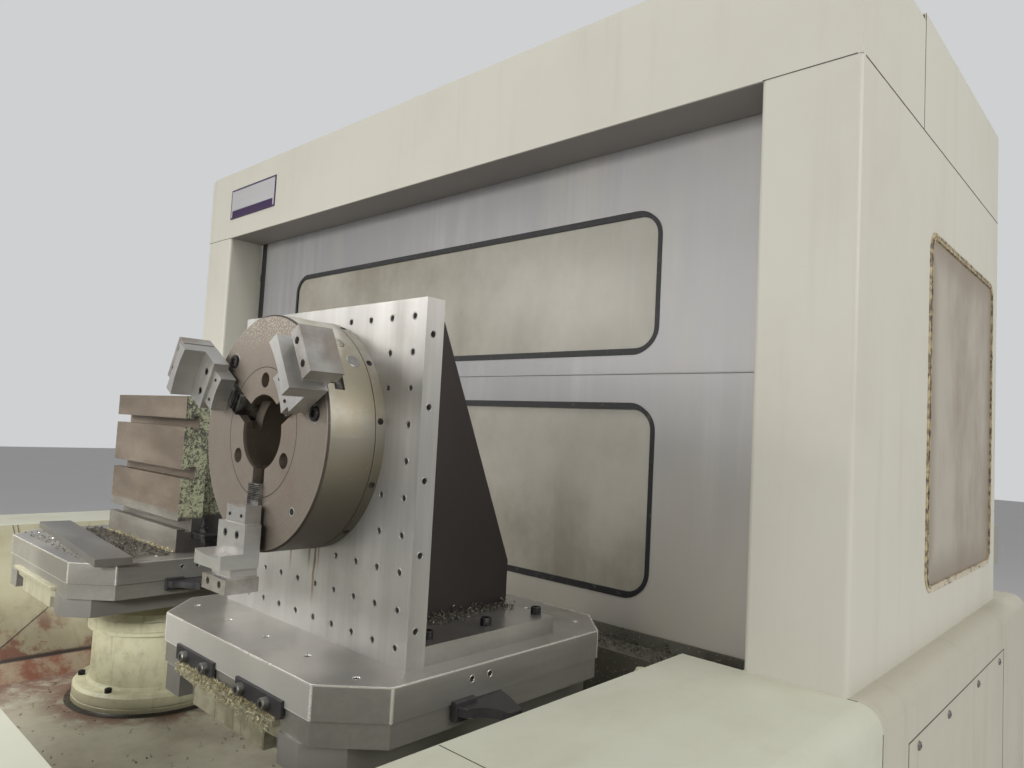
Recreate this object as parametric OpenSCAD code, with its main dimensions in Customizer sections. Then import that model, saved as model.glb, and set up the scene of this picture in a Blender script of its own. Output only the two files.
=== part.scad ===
// Horizontal machining center with two setup stations in front of a lift door.
// Z is up, X runs along the front to the right, Y runs into the machine.
// The origin lies on the floor, on the centre line, in the plane of the portal front.

/* [Portal] */
// Width of each portal column
column_face = 225; // [190:1:260]
// Clear width between the portal columns
opening_w = 2650; // [2600:10:2750]
// Height of the underside of the header
soffit_z = 2456; // [2400:2:2600]
// Height of the header face
header_h = 322; // [260:2:400]
// Depth of the soffit in front of the lift door
reveal_d = 167; // [150:1:200]
// Length of the side covers, front to back
cover_d = 1525; // [1480:5:1600]
// Length of the header wrap along each side
header_wrap = 500; // [420:5:700]
// Thickness of the cover sheets
sheet_t = 3; // [2:0.5:5]
// Outside radius of the column corners
corner_r = 12; // [6:1:20]
// Radius of the upper header corners
header_r = 30; // [10:1:45]

/* [Side window] */
// Distance of the window from the portal front
side_win_y = 595; // [560:5:620]
// Length of the side window
side_win_l = 836; // [760:2:860]
// Height of the lower edge of the side window
side_win_z = 1240; // [1200:5:1300]
// Height of the side window
side_win_h = 958; // [900:2:1000]
// Corner radius of the side window
side_win_r = 48; // [30:1:60]
// Width of the sealing bead
bead_w = 14; // [8:1:20]
// Thickness of the window panes
pane_t = 8; // [6:1:12]

/* [Guards and tray] */
// Height of the guard tops and of the skirt shoulders
guard_z = 1095; // [1060:5:1100]
// Radius of the rounded guard edges
shoulder_r = 48; // [20:1:60]
// Distance the skirts stand out from the side covers
skirt_out = 68; // [50:1:80]
// Length of the skirts behind the portal front
skirt_d = 1720; // [1650:5:1800]
// Distance of the outer front guard face from the portal front
guard_front = 1635; // [1600:5:1700]
// Width of the front guard top
front_guard_w = 393; // [360:1:410]
// Inner face of the right guard, from the centre line
right_guard_in = 1173; // [1165:1:1180]
// Inner top edge of the left guard, from the centre line
left_guard_in = 1575; // [1560:1:1600]
// Width of the left guard top
left_guard_w = 390; // [350:1:420]
// Foot of the left chip slope, from the centre line
slope_foot = 990; // [960:1:1040]
// Height of the tray floor
tray_z = 620; // [600:1:640]
// Thickness of the tray plate
tray_t = 6; // [4:1:8]
// Height of the ledge below the lift door
ledge_z = 1035; // [1000:1:1040]
// Distance of the ledge upstand behind the portal front
ledge_y = 60; // [50:1:80]

/* [Lift door] */
// Clearance between the door leaf and each portal column
door_gap = 50; // [48:1:70]
// Height of the lower door edge
door_z = 1055; // [1050:1:1075]
// Height of the door leaf
door_h = 1505; // [1480:1:1600]
// Thickness of the door leaf
door_t = 30; // [24:1:40]
// Travel of the lift door
door_lift = 1200; // [1000:10:1220]
// Width of the door windows
door_win_w = 1940; // [1800:2:2000]
// Lower edge of the lower window above the door edge
low_win_z = 101; // [80:1:110]
// Height of the lower window
low_win_h = 539; // [500:1:560]
// Lower edge of the upper window above the door edge
up_win_z = 790; // [770:1:820]
// Height of the upper window
up_win_h = 410; // [380:1:440]
// Corner radius of the door windows
door_win_r = 75; // [50:1:90]
// Width of the rubber window seals
gasket_w = 13; // [8:1:18]
// Wall of the door guide channels
guide_t = 6; // [4:1:8]
// Distance of the lift cylinders outside the clear opening
lift_cyl_out = 75; // [60:1:95]
// Outside radius of the lift cylinders
lift_cyl_r = 32; // [28:1:36]
// Bore radius of the lift cylinders
lift_bore_r = 25; // [20:1:26]
// Radius of the piston rods
lift_rod_r = 12; // [8:1:14]

/* [Setup stations] */
// Distance between the two stations
station_pitch = 1300; // [1290:1:1320]
// Distance of the station axes in front of the portal
station_d = 474; // [470:1:490]
// Side of the square pallets
pallet_s = 800; // [780:2:810]
// Corner chamfer of the pallets
pallet_c = 100; // [90:1:110]
// Height of the pallet tops above the floor
pallet_z = 1150; // [1145:1:1170]
// Thickness of the pallet's upper plate
pallet_plate_h = 62; // [50:1:70]
// Thickness of the pallet's lower body
pallet_body_h = 45; // [35:1:55]
// Pitch of the tapped holes in the pallets
pallet_pitch = 160; // [140:1:165]
// Core radius of the tapped pallet holes
pallet_hole_r = 7; // [5:0.5:9]
// Depth of the tapped pallet holes
pallet_hole_d = 40; // [25:1:50]
// Thickness of the station turntable plate
carrier_h = 56; // [48:1:64]
// Step of the turntable sides inside the pallet sides
carrier_in = 65; // [55:1:75]
// Width of the front apron
apron_w = 413; // [380:1:430]
// Thickness of the front apron
apron_t = 25; // [20:1:30]
// Height of the front apron
apron_h = 212; // [180:1:230]
// Length of the black guide shoes
shoe_l = 172; // [150:1:180]
// Height of the guide shoes
shoe_h = 32; // [24:1:36]
// Reach of the curved horns on the pallet sides
horn_out = 95; // [80:1:100]
// Distance the guide shoes stand out from the pallet
shoe_out = 7; // [4:1:9]

/* [Pedestals] */
// Radius of the pedestal base flange
ped_base_r = 300; // [280:2:320]
// Radius of the pedestal column
ped_r = 205; // [190:1:215]
// Radius of the pedestal head flange
ped_head_r = 216; // [214:1:230]
// Height of the pedestals
ped_h = 310; // [296:1:330]
// Radius of the turning journal in the pedestal
ped_journal_r = 60; // [50:1:70]

/* [Angle plate] */
// Side of the square face plate
face_s = 700; // [680:2:720]
// Thickness of the face plate
face_t = 45; // [38:1:52]
// Set-back of the face plate behind the pallet front
face_back = 167; // [160:1:180]
// Depth of the base plate behind the face plate
foot_d = 382; // [340:1:400]
// Thickness of the base plate
foot_t = 38; // [32:1:45]
// Thickness of the gussets
gusset_t = 25; // [20:1:30]
// Set-back of the gussets from the plate edges
gusset_in = 150; // [120:1:160]
// Height of the gussets at their rear edge
gusset_low = 102; // [80:1:130]
// Depth of the gussets at their top
gusset_top_d = 135; // [110:1:140]
// Pitch of the tapped holes in the face plate
face_pitch = 70; // [60:1:72]
// Core radius of the tapped face plate holes
face_hole_r = 5.5; // [4:0.5:7]
// Pitch of the tapped holes in the face plate edge
edge_pitch = 140; // [120:1:150]

/* [Chuck] */
// Outside radius of the chuck
chuck_r = 245; // [240:1:252]
// Thickness of the chuck
chuck_d = 130; // [120:1:145]
// Height of the chuck axis above the pallet
chuck_z = 424; // [410:1:430]
// Radius of the through bore
chuck_bore_r = 78; // [70:1:80]
// Radius of the cover ring
ring_r = 135; // [128:1:140]
// Thickness of the cover ring
ring_t = 55; // [50:1:60]
// Turn of the first jaw above the horizontal
jaw_turn = 30; // [25:1:40]
// Width of the jaw guides
jaw_w = 46; // [40:1:50]
// Depth of the jaw guide neck
jaw_neck_d = 20; // [16:1:22]
// Width of the jaw guide foot
jaw_foot_w = 70; // [64:1:74]
// Depth of the jaw guide foot
jaw_foot_d = 22; // [18:1:24]
// Travel of the jaws each way
jaw_travel = 8; // [4:1:10]
// Height of the master jaws above the chuck face
jaw_proud = 9; // [6:1:11]
// Radius of the inner gripping steps
step_r = 152; // [148:1:158]
// Radius of the outer gripping steps
grip_r = 245; // [240:1:250]
// Width of the inner gripping steps
step_w = 78; // [74:1:84]
// Width of the outer gripping steps
top_jaw_w = 112; // [106:1:118]
// Depth of the top jaws in front of the chuck face
top_jaw_d = 95; // [90:1:110]

/* [Slotted knee] */
// Width of the slotted knee
knee_w = 600; // [560:2:640]
// Height of the slotted knee
knee_h = 510; // [480:2:540]
// Thickness of the slotted wall
knee_t = 80; // [72:1:90]
// Depth of the knee foot
knee_d = 350; // [320:2:380]
// Set-back of the slotted face behind the pallet front
knee_back = 309; // [290:1:320]
// Height of the lowest slot above the pallet
slot_z = 88; // [80:1:100]
// Pitch of the slots
slot_pitch = 167; // [150:1:170]
// Width of the slot necks
slot_w = 28; // [22:1:32]
// Length of the flat bar
bar_l = 850; // [780:5:860]
// Width of the flat bar
bar_w = 100; // [80:1:110]
// Thickness of the flat bar
bar_t = 22; // [16:1:26]

/* [Inner machine] */
// Height of the cross bed
bed_h = 600; // [580:1:600]
// Length of the cross bed
bed_w = 2600; // [2560:10:2620]
// Distance of the table axis behind the portal front
table_y = 760; // [740:1:780]
// Radius of the rotary table
table_r = 390; // [360:1:400]
// Travel of the table each way
x_travel = 650; // [600:5:660]
// Width of the column
column_w = 940; // [900:10:960]
// Width of the window in the column
column_gap = 520; // [500:2:540]
// Height of the column top above the floor
column_top = 3000; // [2900:10:3100]
// Distance of the spindle nose behind the portal front
nose_y = 1480; // [1470:1:1500]
// Height of the spindle axis above the floor
spindle_z = 1300; // [1290:1:1320]
// Radius of the spindle shaft
spindle_r = 70; // [60:1:80]
// Side of the spindle head
head_s = 500; // [480:2:500]
// Height of the guideway rails
rail_h = 40; // [34:1:44]
// Width of the guideway rails
rail_w = 45; // [38:1:50]

/* [Rear enclosure and cabinet] */
// Half width of the rear enclosure
rear_x = 1000; // [980:5:1040]
// Distance of the rear wall behind the portal front
rear_y = 3100; // [3050:5:3150]
// Rear edge of the magazine bay behind the portal front
mag_y = 2850; // [2800:5:2900]
// Width of the electrical cabinet
cab_w = 1100; // [1000:10:1200]
// Depth of the electrical cabinet
cab_d = 480; // [420:5:520]
// Height of the electrical cabinet
cab_h = 2100; // [1900:10:2200]
// Thickness of the cabinet door
cab_door_t = 24; // [18:1:30]
// Radius of the tool magazine disc
disc_r = 560; // [520:2:580]
// Number of tool pots
pockets = 24; // [16:2:28]
// Radius of the tool pots
pot_r = 42; // [36:1:46]
// Radius of the tool arm
arm_r = 560; // [540:1:570]
// Height of the tool arm axis above the spindle axis
arm_rise = 600; // [590:2:620]
// Distance of the tool arm in front of the spindle nose
arm_lead = 110; // [105:1:120]
// Depth of the column from front to back
column_d = 700; // [680:5:720]
// Length of the coolant tank
tank_l = 1100; // [1050:5:1150]
// Width of the coolant tank
tank_w = 400; // [380:2:430]
// Height of the coolant tank
tank_h = 420; // [400:2:440]

/* [Operator side] */
// Front edge of the operator opening behind the portal front
op_y = 120; // [110:1:140]
// Length of the operator opening
op_l = 640; // [600:2:660]
// Height of the operator opening
op_h = 1200; // [1100:5:1240]
// Lower edge of the operator opening
op_z = 1150; // [1140:1:1180]
// Thickness of the operator door
op_t = 34; // [28:1:40]
// Width of the control panel
panel_w = 400; // [360:2:420]
// Height of the control panel
panel_h = 540; // [480:2:560]
// Depth of the control panel
panel_d = 150; // [120:2:170]
// Distance of the control panel from its swinging tube
panel_arm = 150; // [145:1:170]
// Distance of the control panel top below the soffit
panel_drop = 700; // [660:5:720]

/* [Fits] */
// Gap beside parts that slide or turn
slide_gap = 0.3; // [0.2:0.1:0.5]
// Radial clearance of shafts in their bores
shaft_gap = 0.05; // [0.03:0.01:0.08]

/* [Hidden] */
$fn = 64;

open_x = opening_w / 2;
cover_x = open_x + column_face;
header_top = soffit_z + header_h;
skirt_x = cover_x + skirt_out;
left_guard_x = left_guard_in + left_guard_w;
front_in = guard_front - front_guard_w;
station_x = station_pitch / 2;
carrier_z = pallet_z - pallet_plate_h - pallet_body_h - carrier_h;
ped_top = tray_z + ped_h;
half_s = pallet_s / 2;
shoe_z = pallet_z - pallet_plate_h - shoe_h + 12;
face_y = -station_d - half_s + face_back;
chuck_face_y = face_y - chuck_d;
chuck_axis_z = pallet_z + chuck_z;
door_w = opening_w - 2 * door_gap;
lift_cyl_x = open_x + lift_cyl_out;
door_y = reveal_d;
door_back = door_y + door_t;
guide_y = door_y + door_t / 2;
guide_x = open_x - sheet_t;
lift_y = door_back + 2 * lift_cyl_r;
lift_arm_z = door_z + door_h - 174;
saddle_z = bed_h + rail_h;
table_z = saddle_z + 160;
table_top = carrier_z - 2;
rail_dy = 200;
column_foot_z = bed_h + 100 + rail_h;
column_y = nose_y + 270;
z_rail_x = 380;
y_rail_x = (column_w + column_gap) / 4;
arm_x = arm_r - 20;
arm_z = spindle_z + arm_rise;
disc_x = rear_x + 300;
disc_y = cover_d + disc_r + 65;
disc_z = arm_z - 150;
pivot_y = 700;
pivot_z = soffit_z + 54;
pendant_x = cover_x + 50;
panel_x = pendant_x + panel_arm + panel_w / 2;
panel_top = soffit_z - panel_drop;

cover_col = [0.80, 0.79, 0.73];
guard_col = [0.78, 0.78, 0.71];
dark_col = [0.22, 0.21, 0.22];
grey_col = [0.47, 0.46, 0.45];
steel_col = [0.62, 0.61, 0.59];
cast_col = [0.40, 0.39, 0.36];
cream_col = [0.76, 0.75, 0.60];
glass_col = [0.52, 0.51, 0.42];

// Extrudes a Y-Z outline from x0 to x1
module along_x(x0, x1) {
    translate([x0, 0, 0]) rotate([90, 0, 90]) linear_extrude(x1 - x0) children();
}

// Extrudes an X-Z outline from y0 to y1
module along_y(y0, y1) {
    translate([0, y1, 0]) rotate([90, 0, 0]) linear_extrude(y1 - y0) children();
}

// Box between two corners
module span(a, b) {
    translate(a) cube(b - a);
}

// Round bar along Y from y0 to y1
module bar_y(x, z, r, y0, y1) {
    translate([x, y0, z]) rotate([-90, 0, 0]) cylinder(r = r, h = y1 - y0);
}

// Round bar along X from x0 to x1
module bar_x(y, z, r, x0, x1) {
    translate([x0, y, z]) rotate([0, 90, 0]) cylinder(r = r, h = x1 - x0);
}

// Rectangle with round corners, from its lower left corner
module round_rect(w, h, r) {
    translate([r, 0]) square([w - 2 * r, h]);
    translate([0, r]) square([w, h - 2 * r]);
    for (x = [r, w - r], y = [r, h - r]) translate([x, y]) circle(r);
}

// Frame between two rectangles with round corners
module round_frame(w, h, r, band) {
    difference() {
        round_rect(w, h, r);
        translate([band, band]) round_rect(w - 2 * band, h - 2 * band, r - band);
    }
}

// Square with cut corners, centred
module cut_square(sx, sy, c) {
    polygon([[-sx / 2 + c, -sy / 2], [sx / 2 - c, -sy / 2], [sx / 2, -sy / 2 + c],
        [sx / 2, sy / 2 - c], [sx / 2 - c, sy / 2], [-sx / 2 + c, sy / 2],
        [-sx / 2, sy / 2 - c], [-sx / 2, -sy / 2 + c]]);
}

// Rectangle from x0 to x1 and up to z1, with its upper corner at x1 rounded
module shoulder_outline(x0, x1, z1, r) {
    side = sign(x1 - x0);
    left = min(x0, x1);
    translate([left, 0]) square([abs(x1 - x0), z1 - r]);
    translate([side > 0 ? x0 : x1 + r, 0]) square([abs(x1 - x0) - r, z1]);
    translate([x1 - side * r, z1 - r]) circle(r);
}

module at_station(side) {
    translate([side * station_x, -station_d, 0]) children();
}

// Welded frame under the chip tray, which carries the two pedestals
module station_base() {
    color(dark_col)
    difference() {
        span([-slope_foot + sheet_t, -front_in + sheet_t, 0],
            [right_guard_in - sheet_t, ledge_y - tray_t, tray_z - tray_t]);
        for (x = [-860, 440]) {
            span([x, -front_in - 1, 120], [x + 420, ledge_y, tray_z - 220]);
        }
        for (s = [-1, 1]) at_station(s) cylinder(r = ped_journal_r + 5, h = tray_z);
    }
}

// Folded tray floor with its upstand and the ledge below the door
module tray_floor() {
    back_y = reveal_d - 7;
    color([0.30, 0.24, 0.20])
    difference() {
        union() {
            span([-slope_foot, -front_in, tray_z - tray_t], [right_guard_in, ledge_y, tray_z]);
            span([-guide_x, ledge_y - tray_t, tray_z - tray_t], [guide_x, ledge_y, ledge_z]);
            span([-guide_x, ledge_y - tray_t, ledge_z - tray_t], [guide_x, back_y, ledge_z]);
            span([-guide_x, back_y - tray_t, ledge_z - tray_t], [guide_x, back_y, door_z + 15]);
            span([right_guard_in, slide_gap, ledge_z - tray_t], [guide_x, ledge_y, ledge_z]);
        }
        for (s = [-1, 1]) at_station(s) {
            translate([0, 0, tray_z - tray_t - 1]) cylinder(r = ped_journal_r + 5, h = tray_t + 2);
        }
    }
}

module right_guard() {
    color(guard_col)
    difference() {
        along_y(-guard_front, 0) shoulder_outline(right_guard_in, skirt_x, guard_z, shoulder_r);
        along_y(-guard_front + sheet_t, -sheet_t) translate([0, -1])
            shoulder_outline(right_guard_in + sheet_t, skirt_x - sheet_t, guard_z + 1 - sheet_t,
                shoulder_r - sheet_t);
    }
}

module front_guard() {
    color(guard_col)
    difference() {
        along_x(-left_guard_in, right_guard_in)
            shoulder_outline(-front_in, -guard_front, guard_z, shoulder_r);
        along_x(-left_guard_in - 1, right_guard_in + 1) translate([0, -1])
            shoulder_outline(-front_in - sheet_t, -guard_front + sheet_t, guard_z + 1 - sheet_t,
                shoulder_r - sheet_t);
    }
}

// Left guard, whose inner side is a slope that sheds chips into the tray
module left_guard() {
    color(guard_col) {
        difference() {
            along_y(-guard_front, 0)
                shoulder_outline(-left_guard_in, -left_guard_x, guard_z, shoulder_r);
            along_y(-guard_front + sheet_t, -sheet_t) translate([0, -1])
                shoulder_outline(-left_guard_in - sheet_t, -left_guard_x + sheet_t,
                    guard_z + 1 - sheet_t, shoulder_r - sheet_t);
        }
        difference() {
            slope_block(0);
            slope_block(sheet_t);
        }
    }
}

// Block under the slope, cut back beside the portal column
module slope_block(inset) {
    fall = (guard_z - tray_z) / (left_guard_in - slope_foot);
    drop = inset * sqrt(1 + fall * fall);
    base = inset > 0 ? -1 : 0;
    foot = -slope_foot - inset;
    difference() {
        along_y(-front_in + inset, ledge_y - tray_t - slide_gap - inset) polygon([
            [-left_guard_in, base], [-left_guard_in, guard_z - drop],
            [foot, tray_z - drop + fall * inset], [foot, base]]);
        span([-left_guard_in - 1, -inset, -2], [-open_x + slide_gap + inset, ledge_y, guard_z + 1]);
    }
}

// Skirt panel below a side cover, with a return to the rear enclosure
module skirt(back_x) {
    color(cover_col)
    difference() {
        union() {
            along_y(0, skirt_d) shoulder_outline(open_x, skirt_x, guard_z, shoulder_r);
            span([back_x, cover_d, 0], [open_x, skirt_d, guard_z]);
        }
        along_y(sheet_t, skirt_d - sheet_t) translate([0, -1])
            shoulder_outline(open_x - 1, skirt_x - sheet_t, guard_z + 1 - sheet_t,
                shoulder_r - sheet_t);
        span([back_x - 1, cover_d - 1, -1], [open_x + 1, skirt_d - sheet_t, guard_z - sheet_t]);
        translate([lift_cyl_x, lift_y, guard_z - 2 * sheet_t]) {
            cylinder(r = lift_cyl_r + 3, h = 3 * sheet_t);
        }
    }
}

module right_skirt() skirt(rear_x);

module left_skirt() mirror([1, 0, 0]) skirt(open_x - 1);

// Folded cover: door reveal, column face, side wall and rear return
module cover_outline() {
    difference() {
        union() {
            translate([open_x, corner_r]) square([cover_x - open_x, cover_d - corner_r]);
            translate([open_x + corner_r, 0]) square([cover_x - open_x - 2 * corner_r, corner_r + 1]);
            for (x = [open_x + corner_r, cover_x - corner_r]) translate([x, corner_r]) circle(corner_r);
        }
        translate([open_x + sheet_t, corner_r]) {
            square([cover_x - open_x - 2 * sheet_t, cover_d - corner_r - sheet_t]);
        }
        translate([open_x + corner_r, sheet_t]) {
            square([cover_x - open_x - 2 * corner_r, corner_r]);
        }
        for (x = [open_x + corner_r, cover_x - corner_r]) {
            translate([x, corner_r]) circle(corner_r - sheet_t);
        }
        translate([open_x - 1, reveal_d - 2]) {
            square([cover_x - open_x - 50, cover_d]);
        }
    }
}

module side_cover_shell() {
    translate([0, 0, guard_z]) linear_extrude(soffit_z - guard_z) cover_outline();
}

module right_side_cover() {
    color(cover_col)
    difference() {
        side_cover_shell();
        along_x(cover_x - 40, cover_x + 1) translate([side_win_y, side_win_z])
            round_rect(side_win_l, side_win_h, side_win_r);
    }
}

// Left cover with the operator opening and the two rails of its sliding door
module left_side_cover() {
    rail_y = op_y - 60;
    color(cover_col) {
        difference() {
            mirror([1, 0, 0]) side_cover_shell();
            along_x(-cover_x - 1, -cover_x + 40) translate([op_y, op_z]) square([op_l, op_h]);
        }
        for (z = [guard_z, op_z + op_h + 40]) {
            span([-cover_x - 10 - op_t, rail_y, z], [-cover_x, cover_d, z + 14]);
        }
    }
}

module side_window() {
    band = bead_w / 2;
    color(glass_col)
    along_x(cover_x - pane_t, cover_x) translate([side_win_y + band, side_win_z + band])
        round_rect(side_win_l - 2 * band, side_win_h - 2 * band, side_win_r - band);
}

module side_window_seal() {
    band = bead_w / 2;
    color([0.45, 0.33, 0.12])
    along_x(cover_x - pane_t, cover_x + 5) translate([side_win_y, side_win_z])
        round_frame(side_win_l, side_win_h, side_win_r, band);
}

// Header over the opening: front, ends, top and soffit of one welded hood
module portal_header() {
    slot_x = lift_cyl_x + 45;
    color(cover_col)
    difference() {
        union() {
            difference() {
                along_y(0, header_wrap) header_outline(0);
                along_y(sheet_t, header_wrap + 1) header_outline(sheet_t);
            }
            span([-cover_x + sheet_t, sheet_t, soffit_z],
                [cover_x - sheet_t, reveal_d - 4, soffit_z + sheet_t]);
            span([-guide_x, reveal_d - 4 - sheet_t, soffit_z],
                [guide_x, reveal_d - 4, header_top - sheet_t]);
        }
        span([-slot_x, reveal_d - 2, header_top - sheet_t - 1],
            [slot_x, lift_y + lift_cyl_r + 20, header_top + 1]);
    }
}

module header_outline(inset) {
    w = 2 * cover_x - 2 * inset;
    h = header_h - inset;
    r = header_r - inset;
    base = inset > 0 ? 1 : 0;
    translate([-w / 2, soffit_z - base]) square([w, h + base - r]);
    translate([-w / 2 + r, soffit_z]) square([w - 2 * r, h]);
    for (x = [-w / 2 + r, w / 2 - r]) translate([x, soffit_z + h - r]) circle(r);
}

// Upper side panels behind the header, and the beam that joins them at the rear
module upper_side_panels() {
    color(cover_col)
    for (s = [-1, 1]) {
        x0 = s > 0 ? cover_x - sheet_t : -cover_x;
        span([x0, header_wrap, soffit_z], [x0 + sheet_t, cover_d, header_top]);
        x1 = s > 0 ? cover_x - 60 : -cover_x + sheet_t;
        span([x1, header_wrap, header_top - sheet_t], [x1 + 60 - sheet_t, cover_d, header_top]);
        x2 = s > 0 ? cover_x - 60 : -cover_x + sheet_t;
        span([x2, header_wrap, soffit_z], [x2 + 60 - sheet_t, cover_d, soffit_z + sheet_t]);
    }
    color(cover_col) {
        for (z = [pivot_z - 20 - slide_gap - 14, pivot_z + 50 + slide_gap]) {
            span([-pendant_x - 40, pivot_y - 40, z], [-cover_x + 1, pivot_y + 40, z + 14]);
        }
        translate([-pendant_x, pivot_y, pivot_z - 21]) cylinder(r = 25, h = 72);
    }
}

// Upright guide channels beside the lift door
module door_guides() {
    half_slot = door_t / 4 + 0.5;
    wall = half_slot + guide_t;
    inner = door_w / 2 + 2;
    color(dark_col)
    for (s = [-1, 1]) {
        translate([0, 0, bed_h]) linear_extrude(header_top - 8 - bed_h) difference() {
            x0 = s > 0 ? inner : -guide_x;
            translate([x0, guide_y - wall]) square([guide_x - inner, 2 * wall]);
            x1 = s > 0 ? inner - 1 : -guide_x + guide_t;
            translate([x1, guide_y - half_slot]) square([guide_x - inner - guide_t + 1, 2 * half_slot]);
        }
    }
}

// Lift cylinders behind the columns, standing on the bed
module door_cylinders() {
    top = lift_arm_z - 60;
    color(steel_col)
    for (s = [-1, 1]) translate([s * lift_cyl_x, lift_y, 0]) difference() {
        union() {
            translate([-45, -45, bed_h]) cube([90, 90, 60]);
            translate([0, 0, bed_h + 60]) cylinder(r = lift_cyl_r, h = top - bed_h - 60);
            translate([-lift_cyl_r - 5, -lift_cyl_r - 5, top - 30]) {
                cube([2 * lift_cyl_r + 10, 2 * lift_cyl_r + 10, 30]);
            }
        }
        translate([0, 0, lift_bottom() - 30]) cylinder(r = lift_bore_r, h = top - 60 - lift_bottom() + 30);
        translate([0, 0, top - 80]) cylinder(r = lift_rod_r + shaft_gap, h = 100);
    }
}

function lift_bottom() = lift_arm_z - 60 - 90 - door_lift - 60;

module door_rods() {
    piston_z = lift_bottom() + 5;
    color(steel_col)
    for (s = [-1, 1]) translate([s * lift_cyl_x, lift_y, 0]) {
        translate([0, 0, piston_z]) cylinder(r = lift_bore_r - shaft_gap, h = 40);
        translate([0, 0, piston_z + 40]) cylinder(r = lift_rod_r, h = lift_arm_z - piston_z - 40);
    }
}

// Door leaf with its window openings, guide ears and lifting brackets
module lift_door() {
    half = door_w / 2;
    ear = guide_x - guide_t - 1 - half;
    arm_in = half - 75;
    color(grey_col)
    difference() {
        union() {
            span([-half, door_y, door_z], [half, door_back, door_z + door_h]);
            for (s = [-1, 1], z = [door_z + 15, door_z + 345]) {
                x0 = s > 0 ? half - 1 : -half - ear;
                span([x0, guide_y - door_t / 4, z], [x0 + ear + 1, guide_y + door_t / 4, z + 100]);
            }
            for (s = [-1, 1]) {
                x0 = s > 0 ? arm_in : -half + 7;
                span([x0, door_back, lift_arm_z], [x0 + 68, lift_y + 15, lift_arm_z + 20]);
                x1 = s > 0 ? arm_in : -lift_cyl_x - 20;
                span([x1, lift_y - 20, lift_arm_z],
                    [x1 + lift_cyl_x + 20 - arm_in, lift_y + 20, lift_arm_z + 20]);
            }
            for (x = [-half + 30, -20, half - 70]) {
                span([x, door_back, door_z + low_win_z + low_win_h + 30],
                    [x + 40, door_back + 20, door_z + up_win_z - 30]);
            }
        }
        door_window_hole(low_win_z, low_win_h);
        door_window_hole(up_win_z, up_win_h);
    }
}

module door_window_hole(z, h) {
    along_y(door_y - 1, door_back + 1) translate([-door_win_w / 2, door_z + z])
        round_rect(door_win_w, h, door_win_r);
}

module door_windows() {
    color(glass_col)
    for (win = [[low_win_z, low_win_h], [up_win_z, up_win_h]]) {
        along_y(door_y + 4, door_y + 4 + pane_t)
            translate([-door_win_w / 2 + gasket_w, door_z + win[0] + gasket_w])
            round_rect(door_win_w - 2 * gasket_w, win[1] - 2 * gasket_w, door_win_r - gasket_w);
    }
}

module door_window_seals() {
    color([0.07, 0.07, 0.07])
    for (win = [[low_win_z, low_win_h], [up_win_z, up_win_h]]) {
        along_y(door_y - 2, door_back) translate([-door_win_w / 2, door_z + win[0]])
            round_frame(door_win_w, win[1], door_win_r, gasket_w);
    }
}

// Turned pedestal with a stepped foot and a stepped head flange
module pedestal() {
    step = 25;
    color(cream_col)
    translate([0, 0, tray_z]) rotate_extrude() polygon([
        [ped_journal_r + shaft_gap, 0], [ped_base_r, 0], [ped_base_r, step],
        [ped_base_r - step, step], [ped_base_r - step, 2 * step], [ped_r + 12, 2 * step],
        [ped_r, 2 * step + 12], [ped_r, ped_h - 40], [ped_head_r - 3, ped_h - 37],
        [ped_head_r, ped_h - 34], [ped_head_r, ped_h], [ped_journal_r + shaft_gap, ped_h]]);
}

module left_pedestal() at_station(-1) pedestal();

module right_pedestal() at_station(1) pedestal();

// Turntable plate of a station on its neck, with a pocket for the apron
module carrier() {
    neck_r = ped_head_r + 6;
    neck_z = ped_top + slide_gap;
    color(dark_col)
    difference() {
        union() {
            translate([0, 0, carrier_z]) linear_extrude(carrier_h)
                cut_square(pallet_s - 2 * carrier_in, pallet_s, pallet_c * 0.6);
            translate([0, 0, neck_z]) cylinder(r = neck_r, h = carrier_z - neck_z);
            translate([0, 0, tray_z + 40]) cylinder(r = ped_journal_r, h = neck_z - tray_z - 39);
        }
        span([-apron_w / 2, -half_s - 1, carrier_z - 1],
            [apron_w / 2, -half_s + apron_t + 5, carrier_z + carrier_h + 1]);
    }
}

module left_carrier() at_station(-1) carrier();

module right_carrier() at_station(1) carrier();

// Front apron with its lip, and the black guide shoes on the pallet
module apron() {
    top = carrier_z + carrier_h + 19;
    back = -half_s + apron_t + 5;
    notch = 25;
    x = apron_w / 2;
    color(cream_col)
    difference() {
        span([-x, -half_s + 5, top - apron_h], [x, back, top]);
        for (s = [-1, 1]) {
            span([s * x - notch, -half_s, top - 47], [s * x + notch, back + 1, top - 17]);
        }
    }
    color(cream_col) span([-x + 4, -half_s - 12, top - 10], [x - 4, -half_s + 5, top]);
}

module shoes() {
    gap = 48;
    color(dark_col)
    for (x = [-gap - shoe_l, gap]) {
        span([x, -half_s - shoe_out, shoe_z], [x + shoe_l, -half_s, shoe_z + shoe_h]);
    }
}

// Black bracket with its curved horn on the side of each pallet
module side_bracket() {
    horn_t = 18;
    color(dark_col) {
        span([half_s, -159, shoe_z - 10], [half_s + 14, -104, shoe_z + shoe_h - 5]);
        translate([0, 0, shoe_z + 1]) linear_extrude(horn_t) difference() {
            polygon([[half_s, -158], [half_s + 40, -146], [half_s + horn_out, -92],
                [half_s + horn_out, -66], [half_s + 40, -40], [half_s, -24]]);
            translate([half_s + horn_out - 8, -158]) circle(56);
        }
    }
}

module left_apron() at_station(-1) {
    apron();
    side_bracket();
}

module right_apron() at_station(1) {
    apron();
    shoes();
    side_bracket();
}

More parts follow.
